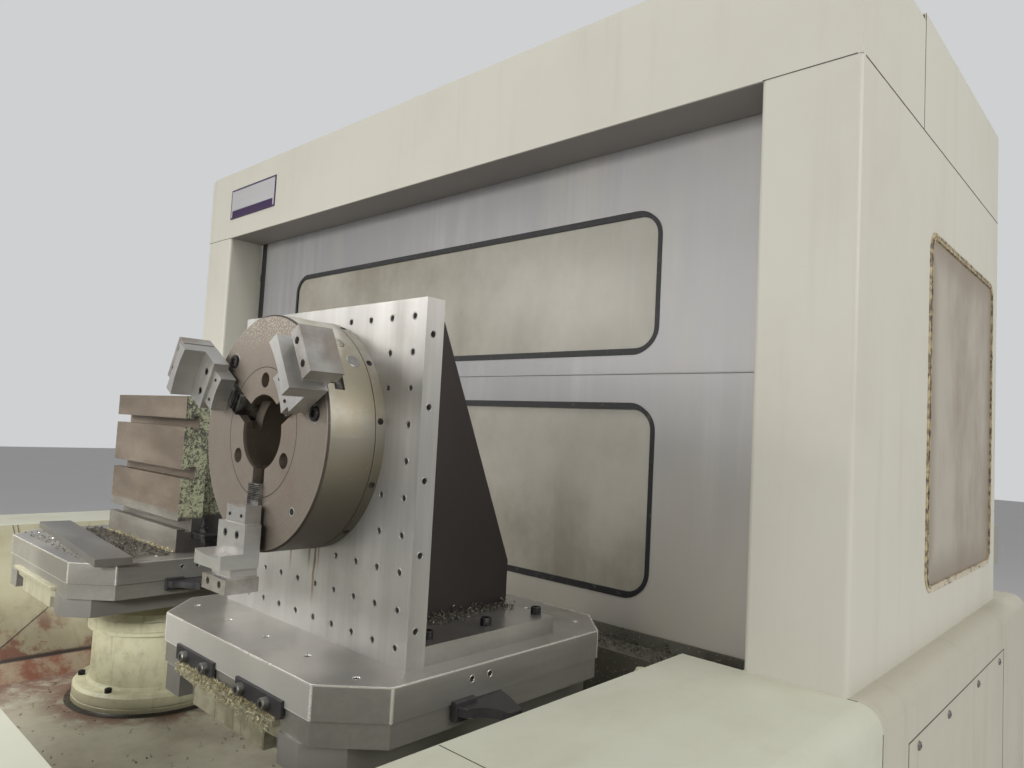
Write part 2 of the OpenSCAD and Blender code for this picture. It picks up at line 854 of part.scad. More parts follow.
// Pallet casting: upper plate over a slightly smaller body, with tapped holes
module pallet() {
    body_z = pallet_z - pallet_plate_h - pallet_body_h;
    step = 4;
    color(steel_col)
    difference() {
        union() {
            translate([0, 0, pallet_z - pallet_plate_h]) linear_extrude(pallet_plate_h)
                cut_square(pallet_s, pallet_s, pallet_c);
            translate([0, 0, body_z]) linear_extrude(pallet_body_h + 1)
                cut_square(pallet_s - 2 * step, pallet_s - 2 * step, pallet_c - 2);
        }
        for (i = [-2:2], j = [-2:2]) {
            translate([i * pallet_pitch, j * pallet_pitch, pallet_z - pallet_hole_d]) {
                cylinder(r = pallet_hole_r, h = pallet_hole_d + 1);
            }
        }
        for (x = [-250, 250], y = [-250, 250]) {
            translate([x, y, body_z - 1]) cylinder(r = 42, h = 33);
        }
        span([-apron_w / 2, -half_s - 1, body_z - 1],
            [apron_w / 2, -half_s + apron_t + 5 + slide_gap, body_z + 19 + slide_gap]);
        for (y = [-108, -59]) bar_x(y, pallet_z - 25, 6, half_s - 25, half_s + 1);
    }
}

module left_pallet() at_station(-1) pallet();

module right_pallet() at_station(1) pallet();

// Face plate of the angle plate, with its grid of tapped holes
module face_plate() {
    n = floor((face_s - 40) / face_pitch);
    first = -n * face_pitch / 2;
    color([0.75, 0.74, 0.72])
    difference() {
        translate([station_x, 0, pallet_z]) span([-face_s / 2, face_y, 0],
            [face_s / 2, face_y + face_t, face_s]);
        for (i = [0:n], j = [0:n]) {
            x = first + i * face_pitch;
            z = face_s / 2 + first + j * face_pitch;
            if (norm([x, z - chuck_z]) > chuck_r + face_hole_r + 3) {
                bar_y(station_x + x, pallet_z + z, face_hole_r, face_y - 1, face_y + face_t + 1);
            }
        }
        bar_y(station_x, chuck_axis_z, chuck_bore_r, face_y - 1, face_y + face_t + 1);
        for (k = [0:4]) {
            bar_x(face_y + 19, pallet_z + face_s / 2 + (k - 2) * edge_pitch, 6,
                station_x + face_s / 2 - 30, station_x + face_s / 2 + 1);
        }
    }
}

module angle_base() {
    color(steel_col)
    span([station_x - face_s / 2, face_y + face_t, pallet_z],
        [station_x + face_s / 2, face_y + face_t + foot_d, pallet_z + foot_t]);
}

module gussets() {
    y0 = face_y + face_t;
    z0 = pallet_z + foot_t;
    color(dark_col)
    for (x = [station_x - face_s / 2 + gusset_in, station_x + face_s / 2 - gusset_in - gusset_t]) {
        along_x(x, x + gusset_t) polygon([[y0, z0], [y0 + foot_d, z0], [y0 + foot_d, z0 + gusset_low],
            [y0 + gusset_top_d, pallet_z + face_s - 14], [y0, pallet_z + face_s - 14]]);
    }
}

module at_chuck() {
    translate([station_x, face_y, chuck_axis_z]) rotate([90, 0, 0]) children();
}

// Radial T-shaped guides, in the chuck's own frame with its axis along Z
module jaw_guides(gap) {
    for (k = [0:2]) rotate([0, 0, jaw_turn + 120 * k]) jaw_bar(0, chuck_r + 10, gap, 5);
}

module jaw_bar(r0, r1, gap, proud) {
    neck = jaw_w + 2 * gap;
    foot = jaw_foot_w + 2 * gap;
    foot_z = chuck_d - jaw_neck_d - jaw_foot_d - gap;
    translate([r0, -neck / 2, foot_z]) cube([r1 - r0, neck, chuck_d + proud - foot_z]);
    translate([r0, -foot / 2, foot_z]) cube([r1 - r0, foot, jaw_foot_d + 2 * gap]);
}

module chuck_body() {
    edge = 4;
    joint_z = 22;
    color([0.50, 0.46, 0.42])
    at_chuck() difference() {
        rotate_extrude($fn = 96) polygon([[chuck_bore_r, 0], [chuck_r, 0], [chuck_r, joint_z],
            [chuck_r - 2, joint_z], [chuck_r - 2, joint_z + 2], [chuck_r, joint_z + 2],
            [chuck_r, chuck_d - edge], [chuck_r - edge, chuck_d], [ring_r, chuck_d],
            [ring_r, chuck_d - ring_t], [chuck_bore_r, chuck_d - ring_t]]);
        jaw_guides(slide_gap);
        rotate([0, 0, jaw_turn + 20]) translate([chuck_r - 30, 0, chuck_d / 2]) rotate([0, 90, 0]) {
            cylinder(r = 14, h = 40);
        }
    }
}

module chuck_cover_ring() {
    bolt_r = 108;
    color([0.52, 0.48, 0.44])
    at_chuck() difference() {
        translate([0, 0, chuck_d - ring_t]) difference() {
            cylinder(r = ring_r, h = ring_t, $fn = 96);
            translate([0, 0, -1]) cylinder(r = chuck_bore_r, h = ring_t + 2);
        }
        jaw_guides(slide_gap);
        for (k = [0:2]) rotate([0, 0, jaw_turn + 60 + 120 * k]) translate([bolt_r, 0, chuck_d - 30]) {
            cylinder(r = 16, h = 31);
        }
    }
}

// Master jaw number k, a T-shaped slide with a serrated face
module master_jaw(k) {
    r0 = chuck_bore_r + 28;
    r1 = chuck_r - 6;
    color(steel_col)
    at_chuck() rotate([0, 0, jaw_turn + 120 * k]) difference() {
        jaw_bar(r0, r1, 0, jaw_proud);
        for (r = [r0 + 8 : 12 : r0 + 20]) {
            translate([r, -jaw_w, chuck_d + jaw_proud - 2]) cube([5, 2 * jaw_w, 3]);
        }
    }
}

// Stepped top jaw number k, with its curved gripping steps and its end block
module top_jaw(k) {
    z = chuck_d + jaw_proud;
    face = chuck_d + 50;
    half = top_jaw_w / 2;
    screw_y = 24;
    color([0.66, 0.65, 0.62])
    at_chuck() rotate([0, 0, jaw_turn + 120 * k]) difference() {
        union() {
            translate([step_r - 9, -step_w / 2, z]) cube([grip_r - step_r + 30, step_w, 34]);
            translate([grip_r - 62, -half, z + 7]) cube([70, 2 * half, face - z - 7]);
            translate([grip_r - 20, -half, z + 7]) cube([42, 2 * half, top_jaw_d - jaw_proud - 7]);
            translate([grip_r + 21, -step_w / 2, z]) cube([24, step_w, 56]);
            translate([grip_r + 42, -half + 7, z]) cube([29, 2 * half - 14, 70]);
        }
        translate([0, 0, chuck_d]) cylinder(r = step_r, h = top_jaw_d, $fn = 96);
        translate([0, 0, face]) cylinder(r = grip_r, h = top_jaw_d, $fn = 96);
        for (y = [-screw_y, screw_y]) {
            translate([grip_r - 40, y, face - 9]) cylinder(r = 8, h = 10);
            translate([grip_r + 54, y, z + 30]) cylinder(r = 7, h = 50);
        }
    }
}

// Cast knee with three T-slots across its face, a foot and stiffening ribs
module slotted_knee() {
    y0 = -station_d - half_s + knee_back;
    z0 = pallet_z;
    foot = 45;
    neck_d = 26;
    t_h = 46;
    t_d = 20;
    color([0.47, 0.45, 0.42])
    translate([-station_x, 0, 0]) difference() {
        union() {
            along_x(-knee_w / 2, knee_w / 2) polygon([[y0, z0], [y0 + knee_d, z0], [y0 + knee_d, z0 + foot],
                [y0 + knee_t, z0 + foot], [y0 + knee_t, z0 + knee_h], [y0, z0 + knee_h]]);
            for (x = [-knee_w / 2 + 60, -15, knee_w / 2 - 90]) along_x(x, x + 30) {
                polygon([[y0 + knee_t - 1, z0 + foot - 1], [y0 + knee_d - 60, z0 + foot - 1],
                    [y0 + knee_t - 1, z0 + knee_h - 60]]);
            }
        }
        for (k = [0:2]) {
            z = z0 + slot_z + k * slot_pitch;
            span([-knee_w, y0 - 1, z - slot_w / 2], [knee_w, y0 + neck_d + 1, z + slot_w / 2]);
            span([-knee_w, y0 + neck_d, z - t_h / 2], [knee_w, y0 + neck_d + t_d, z + t_h / 2]);
        }
    }
}

module flat_bar() {
    color(steel_col)
    translate([-station_x - 5, -station_d - half_s + 124, pallet_z]) rotate([0, 0, -5.4])
        translate([-bar_l / 2, -bar_w / 2, 0]) cube([bar_l, bar_w, bar_t]);
}

// Cast T-shaped bed: cross bed under the table, long bed under the column
module bed() {
    long_w = 1100;
    long_h = bed_h + 100;
    color(cast_col)
    difference() {
        union() {
            span([-bed_w / 2, ledge_y - tray_t, 0], [bed_w / 2, table_y + 490, bed_h]);
            span([-long_w / 2, table_y + 490, 0], [long_w / 2, rear_y - 50, long_h]);
            for (s = [-1, 1]) {
                x0 = s > 0 ? bed_w / 2 - 1 : -lift_cyl_x - 75;
                span([x0, lift_y - 75, 0], [x0 + lift_cyl_x + 76 - bed_w / 2, lift_y + 75, bed_h]);
            }
        }
        for (s = [-1, 1], y = [rail_dy * 2 - 80, table_y + 220]) {
            span([s * (bed_w / 2 + 1) - 301, y, 150], [s * (bed_w / 2 + 1) + 301, y + 260, bed_h - 170]);
        }
        for (s = [-1, 1], y = [table_y + 760, table_y + 1260, table_y + 1760]) {
            span([s * (long_w / 2 + 1) - 201, y, 180], [s * (long_w / 2 + 1) + 201, y + 320, long_h - 180]);
        }
    }
}

// Rails, ball screws and servo motors fixed to the bed
module axis_drives() {
    z1 = bed_h;
    z2 = bed_h + 100;
    motor = 180;
    color(steel_col) {
        for (s = [-1, 1]) {
            span([-bed_w / 2 + 60, table_y + s * rail_dy - rail_w / 2, z1],
                [bed_w / 2 - 60, table_y + s * rail_dy + rail_w / 2, z1 + rail_h]);
            span([s * z_rail_x - rail_w / 2, table_y + 500, z2],
                [s * z_rail_x + rail_w / 2, rear_y - 80, z2 + rail_h]);
        }
        for (s = [-1, 1]) {
            span([s * (bed_w / 2 - 90) - 40, table_y - 60, z1],
                [s * (bed_w / 2 - 90) + 40, table_y + 60, z1 + 100]);
        }
        bar_x(table_y, z1 + 55, 20, -bed_w / 2 + 130, bed_w / 2 - 130);
        for (y = [table_y + 500, rear_y - 160]) span([-60, y, z2], [60, y + 60, z2 + 100]);
        bar_y(0, z2 + 55, 20, table_y + 560, rear_y - 160);
    }
    color(dark_col) {
        span([bed_w / 2 - 50, table_y - motor / 2, z1],
            [bed_w / 2 - 50 + motor * 1.3, table_y + motor / 2, z1 + motor]);
    }
}

// Saddle under the rotary table, with shoes that ride on the cross rails
module table_saddle() {
    w = 360;
    color(cast_col)
    difference() {
        span([-w, table_y - 290, saddle_z - rail_h + 5], [w, table_y + 290, table_z]);
        for (s = [-1, 1]) {
            span([-w - 1, table_y + s * rail_dy - rail_w / 2 - slide_gap, 0],
                [w + 1, table_y + s * rail_dy + rail_w / 2 + slide_gap, saddle_z + slide_gap]);
        }
        span([-w - 1, table_y - 110, 0], [w + 1, table_y + 110, bed_h + 100 + 8]);
        translate([0, table_y, table_z - 60]) cylinder(r = 100 + shaft_gap, h = 61);
    }
    color(steel_col) difference() {
        span([-90, table_y - 105, bed_h + 12], [90, table_y + 105, bed_h + 108]);
        bar_x(table_y, bed_h + 55, 20 + shaft_gap, -91, 91);
    }
}

// Rotary table with the four cones that locate a pallet
module b_table() {
    color(steel_col)
    translate([0, table_y, 0]) {
        translate([0, 0, table_z - 58]) cylinder(r = 100, h = 59);
        translate([0, 0, table_z + slide_gap]) cylinder(r = table_r - 50, h = table_top - 60 - table_z);
        translate([0, 0, table_top - 61]) cylinder(r = table_r, h = 61);
        for (x = [-250, 250], y = [-250, 250]) {
            translate([x, y, table_top - 1]) cylinder(r1 = 40, r2 = 32, h = 29);
        }
    }
}

// Travelling column: a cast frame with the spindle head in its window
module column() {
    w = column_w / 2;
    g = column_gap / 2;
    rear = column_y + column_d;
    color([0.66, 0.67, 0.64])
    difference() {
        union() {
            span([-w, column_y, column_foot_z + 1], [w, rear, column_top]);
            for (s = [-1, 1]) {
                span([s * y_rail_x - rail_w / 2, column_y - 35, column_foot_z + 200],
                    [s * y_rail_x + rail_w / 2, column_y + 1, column_top - 100]);
            }
            translate([-90, column_y + 60, column_top - 1]) cube([180, 180, 261]);
        }
        span([-g, column_y - 1, column_foot_z + 180], [g, rear + 1, column_top - 250]);
        span([-80, column_y - 1, column_foot_z], [80, rear + 1, column_foot_z + 80]);
        for (s = [-1, 1]) span([s * (w + 1) - 91, column_y + 160, column_foot_z + 300],
            [s * (w + 1) + 91, rear - 160, column_top - 400]);
    }
    color(cast_col) difference() {
        span([-79, rear - 240, bed_h + 110], [79, rear - 60, column_foot_z + 81]);
        bar_y(0, bed_h + 155, 20 + shaft_gap, rear - 241, rear - 59);
    }
    color(cast_col)
    for (s = [-1, 1], y = [column_y + 40, rear - 240]) difference() {
        x = s * z_rail_x;
        span([x - 75, y, column_foot_z - rail_h + 5], [x + 75, y + 200, column_foot_z + 1]);
        span([x - rail_w / 2 - slide_gap, y - 1, 0],
            [x + rail_w / 2 + slide_gap, y + 201, column_foot_z + slide_gap]);
    }
}

// Spindle head: housing through the column window, guide plate and nose
module spindle_head() {
    g = column_gap / 2 - 5;
    h = head_s / 2;
    plate_y = column_y - 85;
    color([0.62, 0.63, 0.60])
    difference() {
        union() {
            span([-g, plate_y, spindle_z - h], [g, column_y + column_d + 120, spindle_z + h]);
            span([-y_rail_x - 70, plate_y, spindle_z - h], [y_rail_x + 70, column_y - 8, spindle_z + h]);
            bar_y(0, spindle_z, 190, nose_y + 60, plate_y + 1);
            translate([0, nose_y + 20, spindle_z]) rotate([-90, 0, 0]) cylinder(r1 = 130, r2 = 190, h = 40);
        }
        for (s = [-1, 1]) {
            x = s * y_rail_x;
            span([x - rail_w / 2 - slide_gap, column_y - 35 - slide_gap, spindle_z - h - 1],
                [x + rail_w / 2 + slide_gap, column_y, spindle_z + h + 1]);
        }
        bar_y(0, spindle_z, spindle_r + shaft_gap, nose_y, nose_y + 500);
    }
}

module spindle() {
    color([0.70, 0.70, 0.70])
    difference() {
        union() {
            bar_y(0, spindle_z, spindle_r, nose_y + 19, nose_y + 480);
            bar_y(0, spindle_z, spindle_r + 15, nose_y, nose_y + 20 - slide_gap);
            for (s = [-1, 1]) span([s * 55 - 12, nose_y - 12, spindle_z - 12],
                [s * 55 + 12, nose_y + 1, spindle_z + 12]);
        }
        translate([0, nose_y - 1, spindle_z]) rotate([-90, 0, 0]) cylinder(r1 = 35, r2 = 20, h = 103);
    }
}

// Tool magazine: stand, pocket disc and the arm that swaps tools
module magazine_stand() {
    color(cast_col)
    difference() {
        union() {
            span([-disc_x + 120, disc_y - 150, 0], [-disc_x + 240, disc_y + 150, disc_z + 120]);
            span([-disc_x + 120, column_y + 20, arm_z - 110], [-arm_x + 50, column_y + 220, arm_z + 110]);
            span([-disc_x + 120, column_y + 20, disc_z - 200], [-disc_x + 240, disc_y, arm_z + 110]);
            span([-disc_x + 120, disc_y - 100, bed_h - 150], [-550 - slide_gap, disc_y + 100, bed_h + 50]);
        }
        bar_x(disc_y, disc_z, 60 + shaft_gap, -disc_x + 119, -disc_x + 241);
        bar_y(-arm_x, arm_z, 40 + shaft_gap, column_y, column_y + 241);
    }
}

// Magazine disc with a ring of capped tool pots
module magazine_disc() {
    color(steel_col)
    difference() {
        union() {
            bar_x(disc_y, disc_z, disc_r, -disc_x - 30, -disc_x + 30);
            bar_x(disc_y, disc_z, 110, -disc_x + 29, -disc_x + 120 - slide_gap);
            bar_x(disc_y, disc_z, 60, -disc_x + 118, -disc_x + 240);
            for (k = [0 : pockets - 1]) {
                a = 360 * k / pockets;
                bar_x(disc_y + (disc_r - 60) * cos(a), disc_z + (disc_r - 60) * sin(a), pot_r,
                    -disc_x - 60, -disc_x + 50);
            }
        }
        for (k = [0:5]) {
            a = 60 * k + 30;
            bar_x(disc_y + 260 * cos(a), disc_z + 260 * sin(a), 90, -disc_x - 31, -disc_x + 31);
        }
    }
}

module tool_arm() {
    y0 = nose_y - arm_lead;
    color(dark_col)
    difference() {
        union() {
            span([-arm_x - 45, y0, arm_z - arm_r + 30], [-arm_x + 45, y0 + 50, arm_z + arm_r - 30]);
            bar_y(-arm_x, arm_z, 55, y0, y0 + 90);
            bar_y(-arm_x, arm_z, 40, y0 + 89, column_y + 200);
            for (s = [-1, 1]) bar_y(-arm_x, arm_z + s * (arm_r - 20), 58, y0, y0 + 50);
        }
        for (s = [-1, 1]) {
            bar_y(-arm_x, arm_z + s * (arm_r - 20), 42, y0 - 1, y0 + 51);
            span([-arm_x, y0 - 1, arm_z + s * (arm_r - 20) - 38],
                [-arm_x + 90, y0 + 51, arm_z + s * (arm_r - 20) + 38]);
        }
    }
}

// Sheet enclosure round the column and the magazine bay
module rear_enclosure() {
    t = sheet_t;
    color(cover_col)
    difference() {
        union() {
            span([rear_x - t, cover_d, guard_z], [cover_x, cover_d + t, soffit_z]);
            span([rear_x - t, cover_d - t, 0], [rear_x, rear_y, soffit_z]);
            span([-rear_x, rear_y - t, 0], [rear_x, rear_y, soffit_z]);
            span([-rear_x, mag_y - t, 0], [-rear_x + t, rear_y, soffit_z]);
            span([-cover_x, mag_y - t, 0], [-rear_x + t, mag_y, soffit_z]);
            span([-cover_x, skirt_d, 0], [-cover_x + t, mag_y, guard_z]);
            span([-cover_x, cover_d, guard_z], [-cover_x + t, mag_y, soffit_z]);
        }
        span([-cab_w / 2 + 60, rear_y - t - 1, 300], [cab_w / 2 - 60, rear_y + 1, 1900]);
        for (z = [1500:70:2200]) {
            span([rear_x - t - 1, cover_d + 500, z], [rear_x + 1, cover_d + 1000, z + 20]);
        }
    }
}

// Electrical cabinet on its plinth, open towards its door
module electrical_cabinet() {
    wall = 4;
    y1 = rear_y + cab_d;
    pin_x = cab_w / 2 + 9;
    pin_y = y1 + cab_door_t / 2;
    color([0.74, 0.73, 0.66])
    for (z = hinge_heights()) {
        span([cab_w / 2 - 1, y1 - 60, z - 30], [pin_x + 8, y1, z - slide_gap]);
        span([pin_x - 8, y1 - 1, z - 30], [pin_x + 8, pin_y, z - slide_gap]);
        translate([pin_x, pin_y, z - 30]) cylinder(r = 8, h = 30 - slide_gap);
        translate([pin_x, pin_y, z - 1]) cylinder(r = 4, h = 59);
    }
    color([0.74, 0.73, 0.66])
    difference() {
        span([-cab_w / 2, rear_y, 0], [cab_w / 2, y1, cab_h]);
        span([-cab_w / 2 + wall, rear_y + wall, 100], [cab_w / 2 - wall, y1 + 1, cab_h - wall]);
    }
    color(steel_col)
    span([-cab_w / 2 + 60, rear_y + wall, 180], [cab_w / 2 - 60, rear_y + wall + 20, cab_h - 80]);
    color(dark_col)
    for (i = [0:3]) {
        x = -cab_w / 2 + 110 + i * (cab_w - 220) / 4;
        span([x, rear_y + wall + 20, 1100], [x + (cab_w - 220) / 4 - 20, rear_y + wall + 200, 1500]);
    }
}

function hinge_heights() = [300, cab_h / 2, cab_h - 300];

module cabinet_door() {
    y0 = rear_y + cab_d + slide_gap;
    pin_x = cab_w / 2 + 9;
    pin_y = rear_y + cab_d + cab_door_t / 2;
    color([0.74, 0.73, 0.66])
    difference() {
        union() {
            span([-cab_w / 2 + 2, y0, 102], [cab_w / 2 - 2, y0 + cab_door_t, cab_h - 2]);
            span([-cab_w / 2 + 50, y0 + cab_door_t - 1, 1050],
                [-cab_w / 2 + 80, y0 + cab_door_t + 40, 1250]);
            for (z = hinge_heights()) {
                translate([pin_x, pin_y, z]) cylinder(r = 8, h = 56);
                span([cab_w / 2 - 3, pin_y - 4, z], [pin_x, pin_y + 4, z + 56]);
            }
        }
        for (z = hinge_heights()) translate([pin_x, pin_y, z - 1]) cylinder(r = 4 + shaft_gap, h = 60);
        span([-cab_w / 2 + 62, y0 - 1, 160], [cab_w / 2 - 62, y0 + cab_door_t - 4, cab_h - 60]);
    }
}

// Coolant tank on the floor with the chip conveyor that rises out of it
module coolant_tank() {
    x0 = rear_x + slide_gap;
    y0 = skirt_d + slide_gap;
    w = tank_w;
    color([0.62, 0.62, 0.56])
    difference() {
        union() {
            span([x0, y0, 0], [x0 + w, y0 + tank_l, tank_h]);
            along_x(x0 + 60, x0 + w - 60) polygon([[y0 + 300, tank_h - 20], [y0 + 560, tank_h - 20],
                [y0 + tank_l - 90, 1050], [y0 + tank_l + 130, 1050], [y0 + tank_l + 130, 1250],
                [y0 + tank_l - 210, 1250]]);
            translate([x0 + w / 2, y0 + 120, tank_h - 1]) cylinder(r = 70, h = 260);
        }
        span([x0 + 80, y0 + tank_l - 20, 1000], [x0 + w - 80, y0 + tank_l + 100, 1200]);
    }
}

// Sliding operator door with its window and handle
module operator_door() {
    x1 = -cover_x - 6;
    z0 = guard_z + 14 + slide_gap;
    z1 = op_z + op_h + 40 - slide_gap;
    color(cover_col)
    difference() {
        union() {
            span([x1 - op_t, op_y - 30, z0], [x1, op_y + op_l + 30, z1]);
            bar_z_handle(x1 - op_t - 32, op_y + 10);
        }
        operator_window_hole();
    }
}

module bar_z_handle(x, y) {
    for (z = [1560, 1820]) bar_x(y, z, 9, x, x + 33);
    translate([x, y, 1530]) cylinder(r = 12, h = 320);
}

module operator_window_hole() {
    along_x(-cover_x - 7 - op_t, -cover_x - 5) translate([op_y + 90, op_z + 120])
        round_rect(op_l - 170, op_h - 420, 40);
}

module operator_window() {
    x1 = -cover_x - 6;
    color(glass_col)
    along_x(x1 - op_t / 2 - pane_t / 2, x1 - op_t / 2 + pane_t / 2) translate([op_y + 90, op_z + 120])
        round_rect(op_l - 170, op_h - 420, 40);
}

// Swinging control pendant: bracket, arm, drop tube and panel box
module pendant() {
    tube = 30;
    x = -pendant_x;
    y_front = pivot_y - panel_d / 2;
    color([0.70, 0.70, 0.64])
    difference() {
        union() {
            translate([x, pivot_y, pivot_z - 20]) cylinder(r = 45, h = 70);
            span([-panel_x - tube, pivot_y - tube, pivot_z - 10], [x, pivot_y + tube, pivot_z + 40]);
            span([-panel_x - tube, pivot_y - tube, panel_top - 1],
                [-panel_x + tube, pivot_y + tube, pivot_z]);
            span([-panel_x - panel_w / 2, y_front, panel_top - panel_h],
                [-panel_x + panel_w / 2, pivot_y + panel_d / 2, panel_top]);
        }
        translate([x, pivot_y, pivot_z - 21]) cylinder(r = 25 + shaft_gap, h = 72);
        span([-panel_x - 150, y_front - 1, panel_top - 280], [-panel_x + 150, y_front + 6, panel_top - 50]);
        for (b = panel_buttons()) {
            bar_y(b[0], b[1], b[2] + slide_gap, y_front - 1, y_front + 22);
        }
    }
}

// Axis and radius of the stop button, the start button and the knob
function panel_buttons() = [
    [-panel_x + 130, panel_top - panel_h + 70, 16],
    [-panel_x - 130, panel_top - panel_h + 70, 11],
    [-panel_x, panel_top - panel_h + 90, 10]];

module push_button(k, head_r, out) {
    b = panel_buttons()[k];
    y = pivot_y - panel_d / 2;
    bar_y(b[0], b[1], b[2], y - out + 9, y + 14);
    bar_y(b[0], b[1], head_r, y - out, y - out + 10);
}

module e_stop_button() color([0.75, 0.08, 0.06]) push_button(0, 22, 24);

module start_button() color([0.15, 0.5, 0.2]) push_button(1, 13, 16);

module override_knob() {
    b = panel_buttons()[2];
    y = pivot_y - panel_d / 2;
    color(dark_col) {
        push_button(2, 24, 24);
        span([b[0] - 3, y - 28, b[1]], [b[0] + 3, y - 23, b[1] + 22]);
    }
}

bed();
axis_drives();
station_base();
tray_floor();
right_guard();
front_guard();
left_guard();
right_skirt();
left_skirt();
right_side_cover();
left_side_cover();
portal_header();
upper_side_panels();
side_window();
side_window_seal();
door_guides();
door_cylinders();
rear_enclosure();
electrical_cabinet();
coolant_tank();
left_pedestal();
right_pedestal();
magazine_stand();
lift_door();
door_windows();
door_window_seals();
door_rods();
left_carrier();
left_apron();
left_pallet();
right_carrier();
right_apron();
right_pallet();
face_plate();
angle_base();
gussets();
chuck_body();
chuck_cover_ring();
master_jaw(0);  // master_jaw_1
master_jaw(1);  // master_jaw_2
master_jaw(2);  // master_jaw_3
top_jaw(0);  // top_jaw_1
top_jaw(1);  // top_jaw_2
top_jaw(2);  // top_jaw_3
slotted_knee();
flat_bar();
table_saddle();
b_table();
column();
spindle_head();
spindle();
magazine_disc();
tool_arm();
operator_door();
operator_window();
pendant();
e_stop_button();
start_button();
override_knob();
cabinet_door();
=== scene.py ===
import math
import random

import bmesh
import bpy
from mathutils import Matrix, Vector


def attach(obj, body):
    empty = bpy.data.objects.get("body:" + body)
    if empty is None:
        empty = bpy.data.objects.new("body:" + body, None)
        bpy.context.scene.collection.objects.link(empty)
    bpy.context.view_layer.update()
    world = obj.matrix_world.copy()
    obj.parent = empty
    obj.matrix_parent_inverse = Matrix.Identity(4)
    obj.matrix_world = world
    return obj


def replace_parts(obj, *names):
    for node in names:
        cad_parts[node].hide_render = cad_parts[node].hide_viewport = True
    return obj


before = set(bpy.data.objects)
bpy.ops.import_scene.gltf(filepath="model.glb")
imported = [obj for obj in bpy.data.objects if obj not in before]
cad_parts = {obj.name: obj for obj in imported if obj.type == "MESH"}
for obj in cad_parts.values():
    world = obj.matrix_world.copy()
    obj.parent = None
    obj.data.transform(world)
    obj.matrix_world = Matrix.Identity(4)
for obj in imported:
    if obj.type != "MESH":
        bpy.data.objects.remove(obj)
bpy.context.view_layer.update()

# Portal covers. Folded 3 mm sheet in satin off-white, slightly yellowed, with faint vertical wash
# marks. The side covers run from 1.095 m to 2.456 m, and the header above them is 0.32 m high, with
# painted shade on its underside. The rear panels share the paint, with a dirtier band near the floor.
header_foot, header_top, header_split = 2.4565, 2.776, 0.5
opening_half = 1.324
cover_side, cover_rear = 1.55, 1.525


class Sock:
    """A node output with arithmetic, so that a pattern reads as a formula."""
    def __init__(self, tree, out):
        self.tree, self.out = tree, out

    def math(self, operation, *others):
        n = self.tree.nodes.new("ShaderNodeMath")
        n.operation = operation
        for i, v in enumerate((self,) + others):
            put(self.tree, n.inputs[i], v)
        return Sock(self.tree, n.outputs[0])

    def ramp(self, low, high):
        n = self.tree.nodes.new("ShaderNodeMapRange")
        n.interpolation_type = "SMOOTHSTEP"
        for i, v in enumerate((self, low, high)):
            put(self.tree, n.inputs[i], v)
        return Sock(self.tree, n.outputs[0])

    def __add__(self, other):
        return self.math("ADD", other)

    def __sub__(self, other):
        return self.math("SUBTRACT", other)

    def __rsub__(self, other):
        return (self * -1.0) + other

    def __mul__(self, other):
        return self.math("MULTIPLY", other)

    def __or__(self, other):
        return self.math("MAXIMUM", other)

    def __abs__(self):
        return self.math("ABSOLUTE")

    __radd__ = __add__
    __rmul__ = __mul__


def put(tree, socket, value):
    if isinstance(value, Sock):
        tree.links.new(value.out, socket)
    elif socket.type == "RGBA" and len(value) == 3:
        socket.default_value = (*value, 1.0)
    else:
        socket.default_value = value


class Look:
    """One surface: its coordinates, its patterns and its Principled node."""
    def __init__(self, name, **fixed):
        self.mat = bpy.data.materials.new(name)
        self.mat.use_nodes = True
        self.tree = self.mat.node_tree
        self.shader = self.tree.nodes["Principled BSDF"]
        for key, value in fixed.items():
            self.shader.inputs[key.replace("_", " ")].default_value = value
        self.point = self.node("ShaderNodeTexCoord", "Object")
        self.x, self.y, self.z = [self.node("ShaderNodeSeparateXYZ", i, Vector=self.point) for i in range(3)]

    def node(self, kind, out=0, props=(), **inputs):
        n = self.tree.nodes.new(kind)
        for key, value in dict(props).items():
            setattr(n, key, value)
        for key, value in inputs.items():
            put(self.tree, n.inputs[int(key[1]) if key in ("i0", "i1") else key.replace("_", " ")], value)
        return Sock(self.tree, n.outputs[out])

    def noise(self, scale, stretch=(1, 1, 1), detail=4.0, rough=0.5):
        v = self.node("ShaderNodeVectorMath", props={"operation": "MULTIPLY"}, i0=self.point, i1=stretch)
        return self.node("ShaderNodeTexNoise", Vector=v, Scale=scale, Detail=detail, Roughness=rough)

    def cells(self, scale):
        return self.node("ShaderNodeTexVoronoi", Vector=self.point, Scale=scale)

    def mix(self, factor, a, b):
        n = self.tree.nodes.new("ShaderNodeMix")
        n.data_type = "RGBA"
        n.clamp_factor = True
        put(self.tree, n.inputs[0], factor)
        put(self.tree, n.inputs[6], a)
        put(self.tree, n.inputs[7], b)
        return Sock(self.tree, n.outputs[2])

    def done(self, base, rough=None, metal=None, bump=None, depth=0.0005, coat=None):
        for key, value in (("Base Color", base), ("Roughness", rough),
                           ("Metallic", metal), ("Coat Weight", coat)):
            if value is not None:
                put(self.tree, self.shader.inputs[key], value)
        if bump is not None:
            n = self.node("ShaderNodeBump", Distance=depth, Height=bump)
            self.tree.links.new(n.out, self.shader.inputs["Normal"])
        return self


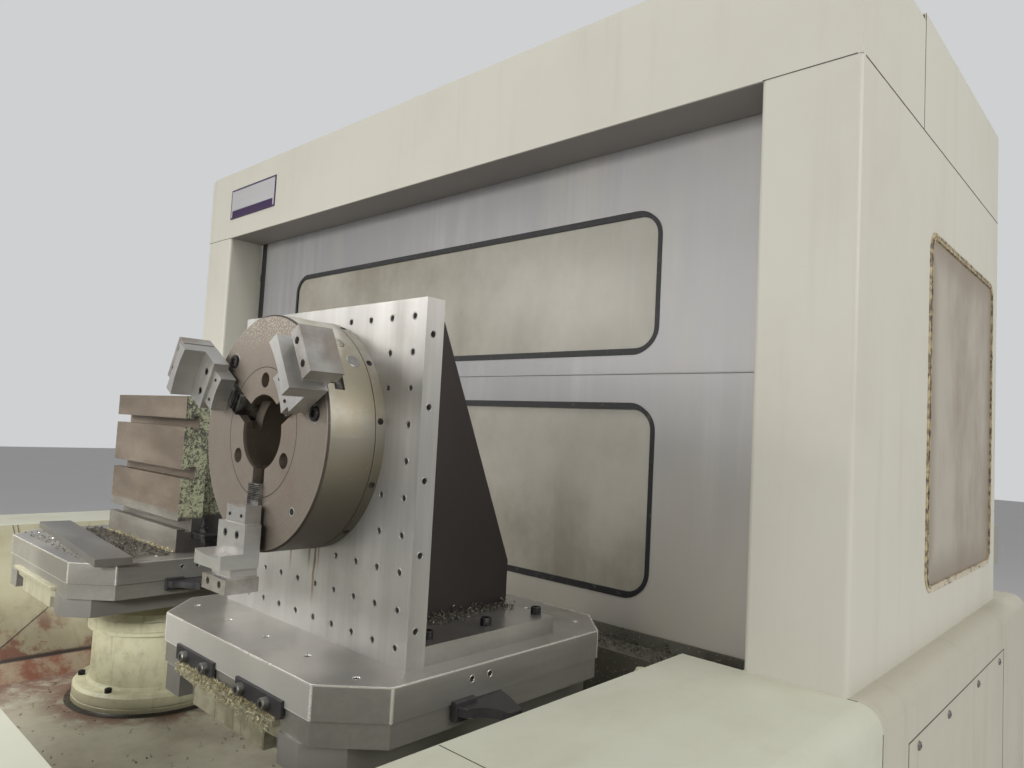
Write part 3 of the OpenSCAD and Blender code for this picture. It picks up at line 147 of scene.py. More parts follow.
def paint(name, tone, dirt, cloud=0.25, runs=0.25, rough=0.42, low=None, paint_soffit_shade=False):
    """Satin paint with grime and run marks; low = (height where dirt starts, where it is full, amount); the
    soffit switch adds painted shade under the header.
    """
    k = Look(name)
    grime = k.noise(1.6, detail=7.0, rough=0.6).ramp(0.42, 0.78) * cloud
    streak = k.noise(16, (1, 1, 0.05), detail=5.0, rough=0.6).ramp(0.5, 0.85)
    patch = k.noise(2.3, (1, 1, 0.4), detail=3.0).ramp(0.4, 0.65)
    mask = grime + streak * patch * runs
    if low:
        edge = k.noise(5, detail=5.0) * 0.25 - 0.125
        mask = mask + (k.z + edge).ramp(low[0], low[1]) * low[2]
    speck = k.cells(90).ramp(0.10, 0.03) * k.noise(3).ramp(0.5, 0.7)
    mask = mask + speck * 0.5
    fine = k.noise(240, detail=3.0)
    base = k.mix(mask, tone, dirt)
    # Painted shade: the header's underside between the columns is darkened.
    if paint_soffit_shade:
        soffit_shade = abs(k.x).ramp(opening_half + 0.0005, opening_half - 0.0005) * k.y.ramp(0.004, 0.008)
        soffit_shade = soffit_shade * abs(k.z - header_foot).ramp(0.0025, 0.0015)
        base = k.mix(soffit_shade * 0.72, base, (0.13, 0.11, 0.125))
    k.done(base, rough=rough + mask * 0.25 + fine * 0.08, bump=fine, depth=0.0001)
    return k


def cad(look, *nodes, bevel=0.0):
    """Gives CAD nodes their look, and a small worked edge where bevel is stated."""
    for name in nodes:
        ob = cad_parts[name]
        ob.data.materials.clear()
        ob.data.materials.append(look.mat)
        if bevel:
            m = ob.modifiers.new("worked_edge", "BEVEL")
            m.width, m.segments, m.limit_method, m.angle_limit = bevel, 2, "ANGLE", math.radians(35)
            m.harden_normals = False


def piece(name, bm, look, body, smooth=False):
    """Turns a bmesh in row coordinates into a piece that rides on a body."""
    me = bpy.data.meshes.new(name)
    bmesh.ops.recalc_face_normals(bm, faces=bm.faces)
    bm.to_mesh(me)
    bm.free()
    ob = bpy.data.objects.new(name, me)
    bpy.context.scene.collection.objects.link(ob)
    me.materials.append(look.mat)
    if smooth:
        me.shade_smooth()
    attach(ob, body)
    return ob


def box(bm, lo, hi, bevel=0.0):
    lo, hi = Vector(lo), Vector(hi)
    m = Matrix.Translation((lo + hi) / 2) @ Matrix.Diagonal((*(hi - lo), 1))
    made = bmesh.ops.create_cube(bm, size=1.0, matrix=m)
    if bevel:
        edges = list({e for v in made["verts"] for e in v.link_edges})
        bmesh.ops.bevel(bm, geom=edges, offset=bevel, segments=2, affect="EDGES", profile=0.5)


cover_paint = paint("cover_paint", (0.61, 0.595, 0.515), (0.40, 0.367, 0.285),
                    cloud=0.22, runs=0.30, low=(0.5, 0.0, 0.35), paint_soffit_shade=True)
cad(cover_paint, "right_side_cover", "left_side_cover", "portal_header", "upper_side_panels", bevel=0.0012)
seam = Look("seam_shadow")
seam.done(seam.mix(seam.noise(40), (0.05, 0.047, 0.04), (0.10, 0.09, 0.07)), rough=0.8)
seams = bmesh.new()
for side in (-1, 1):
    x0, x1 = sorted((side * (cover_side - 0.0002), side * (cover_side + 0.0006)))
    box(seams, (x0, 0.02, header_foot - 0.002), (x1, cover_rear, header_foot + 0.001))
    box(seams, (x0, header_split - 0.0015, header_foot + 0.0005), (x1, header_split + 0.0015, header_top))
    x0, x1 = sorted((side * (opening_half + 0.003), side * (cover_side - 0.01)))
    box(seams, (x0, -0.0006, header_foot - 0.0017), (x1, 0.0002, header_foot + 0.0007))
piece("cover_seams", seams, seam, "frame")

# Name plate. A blank silver plate 415 mm by 143 mm, with a thin dark border and a dark purple band
# along its foot, fixed by four small rivets.
plate_x, plate_z = -1.1325, 2.6165
plate_half_w, plate_half_h = 0.2075, 0.0715
plate = Look("name_plate_silver")
border = abs(plate.x - plate_x).ramp(0.199, 0.2005) | abs(plate.z - plate_z).ramp(0.0625, 0.064)
foot_band = abs(plate.z - plate_z + 0.0475).ramp(0.0165, 0.0155) * abs(plate.x - plate_x).ramp(0.19, 0.189)
brushed = plate.noise(60, (0.06, 1, 6), detail=4.0)
silver = plate.mix(brushed, (0.56, 0.55, 0.55), (0.70, 0.69, 0.69))
plate.done(plate.mix(border | foot_band, silver, (0.06, 0.03, 0.10)), rough=0.3 + brushed * 0.15, metal=0.55)
bm = bmesh.new()
box(bm, (plate_x - plate_half_w, -0.003, plate_z - plate_half_h),
    (plate_x + plate_half_w, 0.0, plate_z + plate_half_h), bevel=0.0012)
piece("name_plate", bm, plate, "frame")
rivets = bmesh.new()
for x in (plate_x - 0.1985, plate_x + 0.1985):
    for z in (plate_z - 0.063, plate_z + 0.063):
        bmesh.ops.create_uvsphere(rivets, u_segments=16, v_segments=8, radius=0.003,
                                  matrix=Matrix.Translation((x, -0.0028, z)) @ Matrix.Diagonal((1, 0.5, 1, 1)))
piece("name_plate_rivets", rivets, plate, "frame", smooth=True)

# Skirts. Off-white sheet with a rounded shoulder at 1.095 m; the right one has a framed access
# panel 1.1 m long with four button screws under its upper seam.
guard_top, skirt_side = 1.095, 1.618
panel_front, panel_rear, panel_foot, panel_head, gap = 0.187, 1.300, 0.30, 0.978, 0.003
skirt_paint = paint("skirt_paint", (0.50, 0.475, 0.385), (0.30, 0.265, 0.19),
                    cloud=0.40, runs=0.45, low=(0.75, 0.0, 0.45))
cad(skirt_paint, "right_skirt", "left_skirt", bevel=0.0012)
seams = bmesh.new()
for y0, z0, y1, z1 in ((panel_front, panel_head - gap, panel_rear, panel_head),
                       (panel_front, panel_foot, panel_front + gap, panel_head),
                       (panel_rear - gap, panel_foot, panel_rear, panel_head),
                       (panel_front, panel_foot, panel_rear, panel_foot + gap),
                       (0.0, 0.0, 0.0025, guard_top - 0.05)):
    box(seams, (skirt_side - 0.0002, y0, z0), (skirt_side + 0.0006, y1, z1))
box(seams, (cover_side, -0.001, guard_top - 0.0002), (cover_side + 0.02, 0.0015, guard_top + 0.0005))
piece("skirt_seams", seams, seam, "frame")


def rod(bm, a, b, r, r2=None, segments=24):
    a, b = Vector(a), Vector(b)
    turn = (b - a).to_track_quat("Z", "Y").to_matrix().to_4x4()
    bmesh.ops.create_cone(bm, cap_ends=True, segments=segments, radius1=r, radius2=r if r2 is None else r2,
                          depth=(b - a).length, matrix=Matrix.Translation((a + b) / 2) @ turn)


def lathe(bm, pos, axis, rings, segments=24):
    """Closed rings (radius, height, hexagonal) joined along an axis; a zero radius closes the end."""
    turn = Vector(axis).to_track_quat("Z", "Y").to_matrix()
    last = None
    for radius, height, hexagon in rings:
        row = []
        for i in range(1 if radius == 0 else segments):
            a = 2 * math.pi * i / segments
            r = radius / math.cos((a % (math.pi / 3)) - math.pi / 6) if hexagon else radius
            row.append(bm.verts.new(Vector(pos) + turn @ Vector((r * math.cos(a), r * math.sin(a), height))))
        if last:
            for i in range(segments):
                quad = [last[i % len(last)], last[(i + 1) % len(last)]]
                quad += [row[(i + 1) % len(row)], row[i % len(row)]]
                quad = [v for j, v in enumerate(quad) if v not in quad[:j]]
                if len(quad) > 2:
                    bm.faces.new(quad)
        last = row


def socket_screw(bm, pos, axis, r, h):
    lathe(bm, pos, axis, ((r, 0, 0), (r, h * 0.86, 0), (r * 0.88, h, 0),
                          (r * 0.46, h, 1), (r * 0.46, h * 0.35, 1), (0, h * 0.3, 0)))


def rim(bm, pos, axis, r, width=0.0016, proud=0.0004):
    lathe(bm, pos, axis, ((r, -0.002, 0), (r, 0.0001, 0), (r + width * 0.7, proud, 0), (r + width, 0.0, 0)), 20)


screw_steel = Look("screw_steel", Metallic=0.9)
film = screw_steel.noise(180, detail=5.0)
screw_steel.done(screw_steel.mix(film, (0.10, 0.095, 0.09), (0.34, 0.33, 0.31)), rough=0.3 + film * 0.3)
button = ((0.011, 0, 0), (0.009, 0.004, 0), (0.004, 0.0055, 0), (0.004, 0.003, 1), (0, 0.003, 0))
screws = bmesh.new()
for y in (0.27, 0.55, 0.90, 1.22):
    lathe(screws, (skirt_side, y, panel_head - 0.027), (1, 0, 0), button)
piece("skirt_screws", screws, screw_steel, "frame")

# Lift door. Grey sheet leaf with a pressed joint at 1.786 m, coolant runs, tan residue that
# thickens towards the foot, and dried chips stuck to it. Painted light makes it paler towards the right.
leaf_half, leaf_front, joint_z = 1.262, 0.1672, 1.7855
door = Look("door_sheet", Metallic=0.15)
runs = door.noise(15, (1, 1, 0.05), detail=6.0, rough=0.62).ramp(0.40, 0.80)
runs = runs * door.noise(1.7, detail=4.0).ramp(0.30, 0.65)
wash = door.noise(3.2, (1, 1, 0.3), detail=6.0, rough=0.6)
low = (door.z + (wash - 0.5) * 0.5).ramp(1.75, 1.05)
tint = door.mix(runs * 0.6, (0.315, 0.311, 0.316), (0.48, 0.478, 0.484))
tint = door.mix((wash.ramp(0.45, 0.75) * 0.35) + low * 0.55, tint, (0.52, 0.475, 0.365))
chips = door.cells(150).ramp(0.16, 0.09) * door.noise(7, detail=3.0).ramp(0.50, 0.66) * (low * 0.85 + 0.08)
tint = door.mix(chips, tint, (0.60, 0.54, 0.38))
# Painted light: the leaf is made paler towards the right, where more light falls.
tint = door.mix(door.x.ramp(0.35, 1.2) * 0.22, tint, (0.72, 0.70, 0.67))
door.done(tint, rough=0.34 + wash * 0.18 + low * 0.15, bump=wash + chips * 0.6, depth=0.0006)
cad(door, "lift_door", bevel=0.001)
bm = bmesh.new()
box(bm, (-leaf_half, leaf_front - 0.0014, joint_z - 0.002), (leaf_half, leaf_front, joint_z + 0.002),
    bevel=0.0005)
pale = Look("door_joint", Metallic=0.2)
pale.done(pale.mix(pale.noise(14, (1, 1, 0.1)), (0.27, 0.265, 0.25), (0.40, 0.395, 0.38)), rough=0.45)
piece("door_joint", bm, pale, "door")
bm = bmesh.new()
box(bm, (-leaf_half, leaf_front - 0.001, joint_z - 0.0033), (leaf_half, leaf_front - 0.0001, joint_z - 0.0022))
piece("door_joint_shadow", bm, seam, "door")

# Door windows. Laminated safety panes, fogged and stained olive-tan by coolant mist, glossy where
# wiped, with a painted highlight that makes them paler to the right and upward, in black profile
# rubber with a raised lip 10 mm wide.
window_half, window_corner, lip_out = 0.96, 0.075, 0.006
pane = Look("fogged_pane", Coat_Roughness=0.16, IOR=1.5)
mist = pane.noise(2.1, (1, 1, 0.8), detail=7.0, rough=0.62)
drops = pane.noise(26, (1, 1, 0.12), detail=6.0, rough=0.6).ramp(0.48, 0.85)
fog = pane.mix(mist.ramp(0.30, 0.72), (0.25, 0.229, 0.172), (0.46, 0.433, 0.365))
fog = pane.mix(drops * 0.35, fog, (0.45, 0.44, 0.41))
dots = pane.cells(120).ramp(0.15, 0.07) * pane.noise(6, detail=3.0).ramp(0.46, 0.66)
fog = pane.mix(dots * 0.8, fog, (0.62, 0.56, 0.38))
# Painted highlight: the panes are made paler towards the right and upward.
fog = pane.mix(pane.x.ramp(-0.1, 0.95) * pane.z.ramp(1.20, 1.62) * 0.3, fog, (0.66, 0.645, 0.60))
pane.done(fog, rough=0.34 + mist * 0.35 + drops * 0.15, coat=0.26 - mist * 0.25, bump=mist + dots, depth=0.0003)
cad(pane, "door_windows", "operator_window", bevel=0.001)
rubber = Look("gasket_rubber")
dust = rubber.noise(50, detail=5.0)
rubber.done(rubber.mix(dust.ramp(0.55, 0.8), (0.012, 0.012, 0.013), (0.07, 0.066, 0.058)),
            rough=0.42 + dust * 0.3)
cad(rubber, "door_window_seals", bevel=0.002)


def frame_band(bm, x0, x1, z0, z1, r, width, y0, y1, steps=14):
    """A closed rounded frame in an X-Z plane, from y0 to y1."""
    corners = ((x1 - r, z1 - r, 0), (x0 + r, z1 - r, 90), (x0 + r, z0 + r, 180), (x1 - r, z0 + r, 270))
    rows = []
    for inset, y in ((0, y1), (0, y0), (width, y0), (width, y1)):
        row = []
        for cx, cz, start in corners:
            for i in range(steps + 1):
                a = math.radians(start + 90 * i / steps)
                row.append(bm.verts.new((cx + (r - inset) * math.cos(a), y, cz + (r - inset) * math.sin(a))))
        rows.append(row)
    n = len(rows[0])
    for a, b in zip(rows, rows[1:]):
        for i in range(n):
            bm.faces.new((a[i], a[(i + 1) % n], b[(i + 1) % n], b[i]))


bm = bmesh.new()
for z0, z1 in ((1.156, 1.695), (1.845, 2.255)):
    frame_band(bm, -window_half - lip_out, window_half + lip_out, z0 - lip_out, z1 + lip_out,
               window_corner + lip_out, 0.010, leaf_front - 0.0016, leaf_front)
piece("door_window_lips", bm, rubber, "door")

# Lift gear. Dark guide channels beside the leaf, drawn aluminium cylinders on the bed behind the
# columns, and hard chrome rods that carry the door's brackets.
dark = Look("dark_steel", Metallic=0.75)
oil = dark.noise(5, detail=6.0)
dark.done(dark.mix(oil, (0.035, 0.032, 0.034), (0.11, 0.10, 0.098)), rough=0.36 + oil * 0.3)
cad(dark, "door_guides")
alu = Look("drawn_aluminium", Metallic=0.9)
draw = alu.noise(40, (1, 1, 0.03))
alu.done(alu.mix(draw, (0.50, 0.50, 0.49), (0.66, 0.66, 0.66)), rough=0.3 + draw * 0.2)
cad(alu, "door_cylinders", bevel=0.002)
chrome = Look("hard_chrome", Metallic=1.0)
chrome.done(chrome.mix(chrome.noise(30), (0.62, 0.62, 0.63), (0.74, 0.74, 0.75)),
            rough=0.10 + chrome.noise(60) * 0.06)
cad(chrome, "door_rods")

# Right side window. A tan, water-stained pane 836 mm by 958 mm held by a thick, uneven bead of
# putty: brown and dark along its sides, pale along its foot.
glass_y, glass_z, glass_half_w, glass_half_h, bead_out = 1.013, 1.719, 0.418, 0.479, 0.007
stained = Look("stained_pane", IOR=1.5)
blot = stained.noise(3.4, (1, 1, 0.5), detail=8.0, rough=0.66)
edge = abs(stained.y - glass_y).ramp(0.30, 0.41) | abs(stained.z - glass_z).ramp(0.36, 0.47)
tan = stained.mix(blot.ramp(0.35, 0.65), (0.31, 0.255, 0.19), (0.44, 0.40, 0.335))
tan = stained.mix(edge * blot * 0.9, tan, (0.17, 0.115, 0.065))
stained.done(tan, rough=0.28 + blot * 0.35, coat=0.4 - blot * 0.3, bump=blot, depth=0.0004)
cad(stained, "side_window")
bead = Look("sealing_bead")
lump = bead.noise(55, detail=5.0)
putty = bead.mix(lump.ramp(0.36, 0.62), (0.11, 0.078, 0.045), (0.47, 0.39, 0.235))
putty = bead.mix(bead.z.ramp(1.25, 1.24) * lump.ramp(0.3, 0.5), putty, (0.58, 0.52, 0.40))
bead.done(putty, rough=0.45, bump=lump, depth=0.004)
cad(bead, "side_window_seal", bevel=0.002)
bm = bmesh.new()
rng = random.Random(5)
y0, y1 = glass_y - glass_half_w - bead_out, glass_y + glass_half_w + bead_out
z0, z1 = glass_z - glass_half_h - bead_out, glass_z + glass_half_h + bead_out
bead_corner, bead_r, bead_step = 0.055, 0.0062, 0.012
r = bead_corner
path = []
for cy, cz, start in ((y1 - r, z1 - r, 0), (y0 + r, z1 - r, 90), (y0 + r, z0 + r, 180), (y1 - r, z0 + r, 270)):
    for i in range(9):
        a = math.radians(start + 90 * i / 8)
        path.append((cy + r * math.cos(a), cz + r * math.sin(a)))
fine_path = []
for p, q in zip(path, path[1:] + path[:1]):
    n = max(1, int(math.dist(p, q) / bead_step))
    fine_path += [(p[0] + (q[0] - p[0]) * i / n, p[1] + (q[1] - p[1]) * i / n) for i in range(n)]
rows = []
for i, (y, z) in enumerate(fine_path):
    ya, za = fine_path[i - 1]
    yb, zb = fine_path[(i + 1) % len(fine_path)]
    t = Vector((0, yb - ya, zb - za)).normalized()
    out = Vector((0, t.z, -t.y))
    r = bead_r * rng.uniform(0.85, 1.15)
    core = Vector((cover_side - 0.0005, y, z))
    arc = [math.pi * j / 6 for j in range(7)]
    rows.append([bm.verts.new(core + out * r * math.cos(a) + Vector((r * 0.8 * math.sin(a), 0, 0)))
                 for a in arc])
for a, b in zip(rows, rows[1:] + rows[:1]):
    for j in range(6):
        bm.faces.new((a[j], a[j + 1], b[j + 1], b[j]))
piece("side_window_bead", bm, bead, "frame", smooth=True)

# Guards round the tray. Off-white sheet with rounded outer edges; the right top serves as a shelf
# with oily smears and a cross seam, and the left one sheds chips down a slope that rusts at its
# foot and is wet and brown below a dark line.
tray_top, splash_line = 0.62, 0.681
slope_foot, slope_head = -0.990, -1.575
front_inside, front_outside = -1.2375, -1.635
guard = Look("guard_paint")
cloud = guard.noise(2.6, detail=7.0, rough=0.62)
smear = guard.noise(6, (1, 0.35, 1), detail=6.0, rough=0.6).ramp(0.5, 0.75)
chute = guard.x.ramp(-0.97, slope_foot) * guard.x.ramp(slope_head - 0.0005, slope_head + 0.0005)
chute = chute * guard.z.ramp(tray_top - 0.01, tray_top) * guard.y.ramp(front_inside - 0.001, front_inside)
foot = chute * (guard.z + guard.noise(4, detail=5.0) * 0.3 - 0.15).ramp(0.86, 0.70)
rust = foot * guard.noise(9, detail=7.0, rough=0.7).ramp(0.46, 0.60)
drip = guard.noise(26, (0.1, 1, 0.1), detail=6.0, rough=0.6).ramp(0.52, 0.74)
tone = guard.mix(cloud.ramp(0.38, 0.8) * 0.45, (0.60, 0.605, 0.50), (0.44, 0.43, 0.32))
tone = guard.mix(chute * (cloud * 0.5 + 0.5) + smear * 0.2, tone, (0.345, 0.315, 0.19))
tone = guard.mix(chute * drip * 0.4 + foot * 0.7, tone, (0.20, 0.165, 0.095))
tone = guard.mix(rust * 0.85, tone, (0.135, 0.04, 0.022))
grit = guard.cells(210).ramp(0.13, 0.06) * guard.noise(9).ramp(0.5, 0.65)
slope_dark_line = chute * abs(guard.z - splash_line + cloud * 0.01).ramp(0.012, 0.004)
tone = guard.mix(grit * (foot + 0.25) + slope_dark_line, tone, (0.035, 0.026, 0.022))
wet = chute * guard.z.ramp(splash_line - 0.004, splash_line - 0.010)
stain = guard.noise(7, detail=8.0, rough=0.7)
tone = guard.mix(wet, tone, guard.mix(stain.ramp(0.42, 0.60), (0.235, 0.095, 0.06), (0.36, 0.29, 0.205)))
guard.done(tone, rough=0.36 + cloud * 0.2, bump=cloud + grit, depth=0.0003)
cad(guard, "right_guard", "front_guard", "left_guard", bevel=0.001)
seams = bmesh.new()
flush, proud = guard_top - 0.0002, guard_top + 0.0004
box(seams, (1.176, -0.777, flush), (1.568, -0.775, proud))
box(seams, (1.173, front_outside + 0.05, flush), (1.1745, front_inside - 0.005, proud))
box(seams, (slope_head - 0.0005, front_outside + 0.05, flush),
    (slope_head + 0.001, front_inside - 0.005, proud))
box(seams, (skirt_side - 0.0002, -0.777, 0.02), (skirt_side + 0.0005, -0.775, guard_top - 0.05))
piece("guard_seams", seams, seam, "frame")
bm = bmesh.new()
slope = (guard_top - tray_top) / (slope_foot - slope_head)
for xa, ya, xb, yb in ((-0.992, -1.010, -1.574, -0.166), (-1.573, -0.727, -1.480, -0.727),
                       (-1.573, -0.710, -1.480, -0.710), (-1.480, -0.7275, -1.480, -0.7095)):
    za, zb = [tray_top + 0.0003 + slope * (slope_foot - x) for x in (xa, xb)]
    rod(bm, (xa, ya, za), (xb, yb, zb), 0.0016, segments=6)
piece("slope_seam", bm, seam, "frame")

# Tray floor. A wet, grey-green plate with brown-red rust towards the slope and round the left
# pedestal, a gutter of black sludge along the front, and fine chips that lie thickest along the
# rear and on the dark ledge under the door.
station_x, station_y, ledge_top = 0.65, -0.474, 1.035
tray = Look("tray_floor_paint")
big = tray.noise(2.2, detail=8.0, rough=0.65)
mid = tray.noise(7, detail=8.0, rough=0.7)
ground = tray.mix(big.ramp(0.35, 0.62), (0.30, 0.275, 0.21), (0.47, 0.45, 0.355))
ground = tray.mix(mid.ramp(0.48, 0.64) * 0.7, ground, (0.42, 0.415, 0.33))
away_x, away_y = tray.x + station_x, tray.y - station_y
reach = tray.x.ramp(-0.55, -0.95) | (away_x * away_x + away_y * away_y).math("SQRT").ramp(0.42, 0.27)
ground = tray.mix(mid.ramp(0.66, 0.46) * (reach * 0.88 + 0.07), ground, (0.155, 0.078, 0.056))
ledge = tray.y.ramp(-0.03, 0.03)
crumbs = tray.cells(95).ramp(0.30, 0.10) * mid.ramp(0.38, 0.55)
ground = tray.mix(ledge * 0.75, ground, (0.03, 0.028, 0.022))
ground = tray.mix(crumbs * (ledge * 0.7 + 0.12), ground, (0.30, 0.28, 0.20))
tray.done(ground, rough=0.28 + mid * 0.42, bump=mid + crumbs * 0.6, depth=0.002)
cad(tray, "tray_floor")
gutter = bmesh.new()
box(gutter, (-0.945, front_inside + 0.0005, tray_top + 0.0002),
    (1.170, front_inside + 0.0325, tray_top + 0.0035), bevel=0.001)
sludge = Look("black_sludge")
wet = sludge.noise(30, detail=6.0)
sludge.done(sludge.mix(wet, (0.010, 0.009, 0.008), (0.05, 0.042, 0.03)),
            rough=0.15 + wet * 0.4, bump=wet, depth=0.004)
piece("tray_gutters", gutter, sludge, "frame")


def curls(bm, rng, count, place, radius=(0.0015, 0.004), turns=(0.8, 2.6), width=(0.0008, 0.0018)):
    """Curled chips: thin ribbons wound into loose helices at places given by a function."""
    points = 9
    for _ in range(count):
        pos, lift = place(rng)
        turn = Matrix.Rotation(rng.uniform(0, 6.28), 3, "Z") @ Matrix.Rotation(rng.uniform(0, 3.1), 3, "X")
        r, w = rng.uniform(*radius), rng.uniform(*width)
        total = rng.uniform(*turns) * 2 * math.pi
        rise = rng.uniform(0.3, 1.2) * r
        last = None
        for i in range(points):
            a = total * i / (points - 1)
            c = Vector((r * math.cos(a), r * math.sin(a), rise * a / 3))
            row = []
            for s in (0.0, w):
                v = turn @ (c + Vector((0, 0, s))) + Vector(pos)
                v.z = max(v.z, lift)
                row.append(bm.verts.new(v))
            if last:
                bm.faces.new((last[0], last[1], row[1], row[0]))
            last = row


def on_ledge(g):
    x, y = g.uniform(-1.2, 1.27), g.uniform(0.066, 0.148)
    return (x, y, ledge_top + 0.0022 + g.random() ** 2 * 0.014), ledge_top + 0.0003


def on_tray(g):
    x = g.uniform(-0.93, 1.15)
    y = g.choice((g.uniform(-0.1, 0.04), g.uniform(-1.2, 0.04)))
    return (x, y, tray_top + 0.0022), tray_top + 0.0005


swarf = Look("pale_swarf", Metallic=0.35)
hue = swarf.noise(160, detail=3.0)
swarf.done(swarf.mix(hue.ramp(0.35, 0.65), (0.30, 0.255, 0.13), (0.62, 0.575, 0.40)), rough=0.38)
dark_swarf = Look("dark_swarf", Metallic=0.5)
hue = dark_swarf.noise(160, detail=3.0)
dark_swarf.done(dark_swarf.mix(hue.ramp(0.35, 0.7), (0.035, 0.03, 0.025), (0.26, 0.24, 0.19)), rough=0.45)
bm = bmesh.new()
rng = random.Random(11)
curls(bm, rng, 1500, on_ledge, radius=(0.002, 0.006))
piece("ledge_chips", bm, dark_swarf, "frame")
bm = bmesh.new()
curls(bm, rng, 900, on_tray, radius=(0.002, 0.005))
piece("tray_chips", bm, dark_swarf, "frame")
cad(dark, "station_base")

# Cream post. A post 38 mm thick with a bevelled top, beside the right station and behind the
# pallet, in the same stained cream paint as the pedestals.
post_x, post_y, post_shoulder, post_r = 1.080, -0.028, 1.030, 0.019
bm = bmesh.new()
rod(bm, (post_x, post_y, tray_top + 0.0002), (post_x, post_y, post_shoulder), post_r)
rod(bm, (post_x, post_y, post_shoulder), (post_x, post_y, post_shoulder + 0.012), post_r, 0.013)
cream = Look("cream_paint")
spot = cream.noise(26, detail=7.0, rough=0.66)
drip = cream.noise(24, (1, 1, 0.05), detail=6.0, rough=0.6)
low = (cream.z + spot * 0.05).ramp(0.70, 0.625)
c = cream.mix(spot.ramp(0.42, 0.72) * 0.5, (0.66, 0.645, 0.46), (0.40, 0.365, 0.21))
c = cream.mix(drip.ramp(0.60, 0.78) * 0.45, c, (0.115, 0.095, 0.05))
c = cream.mix(low * 0.75 + cream.cells(60).ramp(0.13, 0.06) * spot.ramp(0.5, 0.62), c, (0.10, 0.075, 0.04))
cream.done(c, rough=0.34 + spot * 0.25, bump=spot, depth=0.0006)
piece("cream_post", bm, cream, "frame")

# Pedestals. Turned columns 410 mm across in glossy cream paint, yellowed and oil-stained, on a foot
# 512 mm across with a thin groove, under a head flange 444 mm across. Six black cap screws hold
# the foot, and a line of sludge rings it.
foot_r, body_r, head_r = 0.256, 0.205, 0.222
black = Look("black_oxide", Metallic=0.6)
rub = black.noise(70, detail=5.0)
black.done(black.mix(rub.ramp(0.5, 0.8), (0.022, 0.02, 0.021), (0.13, 0.12, 0.115)), rough=0.33 + rub * 0.25)
bm = bmesh.new()
rings = bmesh.new()
foot_profile = ((0, 0), (foot_r, 0), (foot_r, 0.018), (0.2525, 0.020), (foot_r - 0.001, 0.023),
                (foot_r - 0.001, 0.052), (0.247, 0.0615), (0.213, 0.062), (body_r, 0.071))
head_profile = ((body_r, 0.234), (0.214, 0.2365), (head_r, 0.240), (head_r, 0.252), (0.219, 0.2535),
                (head_r, 0.255), (head_r, 0.284), (0.217, 0.289), (0.216, 0.310), (0, 0.310))
pedestal_rings = [(radius, height, 0) for radius, height in foot_profile + head_profile]
sludge_rings = ((foot_r - 0.0005, 0.006, 0), (0.262, 0.001, 0), (0.276, 0.0, 0))
for cx, name in ((-station_x, "left_pedestal"), (station_x, "right_pedestal")):
    for i in range(6):
        a = math.radians(60 * i + 2)
        x, y = cx + (foot_r - 0.025) * math.cos(a), station_y + (foot_r - 0.025) * math.sin(a)
        socket_screw(bm, (x, y, tray_top + 0.0615), (0, 0, 1), 0.011, 0.014)
    base = (cx, station_y, tray_top + 0.0002)
    lathe(rings, base, (0, 0, 1), sludge_rings, 64)
    body_bm = bmesh.new()
    lathe(body_bm, base, (0, 0, 1), pedestal_rings, 96)
    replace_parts(piece(name + "_casting", body_bm, cream, "frame"), name)
piece("pedestal_screws", bm, black, "frame")
piece("pedestal_sludge", rings, sludge, "frame", smooth=True)

# Turntable carriers. Ground steel plates with cut corners, unevenly darkened by oil, on a neck
# flange painted cream with brown stains.
carrier = Look("carrier_steel", Metallic=0.7)
haze = carrier.noise(4, detail=6.0)
neck = carrier.z.ramp(0.985, 0.980)
c = carrier.mix(haze, (0.20, 0.193, 0.18), (0.40, 0.39, 0.365))
c = carrier.mix(neck, c, (0.52, 0.50, 0.33))
c = carrier.mix(neck * haze.ramp(0.45, 0.7) * 0.6, c, (0.26, 0.22, 0.11))
carrier.done(c, rough=0.3 + haze * 0.25, metal=0.6 - neck * 0.6)
cad(carrier, "left_carrier", "right_carrier", bevel=0.0015)

# Pallets. 800 mm square, ground all over with bright worked edges, cut corners, a tier line 63 mm
# below the top, and 25 tapped holes at 160 mm pitch with bright countersinks. Holes that the knee
# or the angle plate covers get none. The right pallet's front face carries painted light.
pallet_top, pallet_half, pitch, tier_z = 1.15, 0.4, 0.16, 1.0868
pallet_front = station_y - pallet_half
stations = (("left", -station_x, "left_station"), ("right", station_x, "right_station"))


def steel_tone(k, light, shade, brush, stain, amount, scale=1.0):
    """Colour, line pattern and stain mask of ground steel."""
    line = k.noise(90 * scale, brush, detail=6.0, rough=0.65)
    wide = k.noise(4 * scale, tuple(0.3 + 0.7 * b for b in brush), detail=3.0)
    oily = k.noise(5 * scale, detail=7.0, rough=0.62).ramp(0.48, 0.72)
    tone = k.mix(line * 0.5 + wide.ramp(0.3, 0.7) * 0.5, shade, light)
    return k.mix(oily * amount, tone, stain), line, oily


pallet = Look("pallet_steel", Anisotropic=0.3)
tone, line, oily = steel_tone(pallet, (0.47, 0.456, 0.422), (0.265, 0.256, 0.236), (1, 0.08, 1),
                              (0.18, 0.16, 0.115), 0.45)
px, py = abs(abs(pallet.x) - station_x), abs(pallet.y - station_y)
past_side = (px - pallet_half) | (py - pallet_half)
past_cut = (px + py - 0.7) * 0.7071
top_edge = (past_side | past_cut).ramp(-0.0032, -0.0022)
top_edge = top_edge * pallet.z.ramp(pallet_top - 0.0032, pallet_top - 0.0022)
upright_edge = (past_side + past_cut).ramp(-0.0030, -0.0016) * pallet.z.ramp(tier_z + 0.0007, tier_z + 0.0017)
worn_edge = top_edge | upright_edge
front = pallet.y.ramp(pallet_front + 0.0015, pallet_front + 0.0005)
tier = abs(pallet.z - tier_z).ramp(0.0009, 0.0005)
tier_edge = abs(pallet.z - tier_z - 0.0018).ramp(0.0012, 0.0007) * front
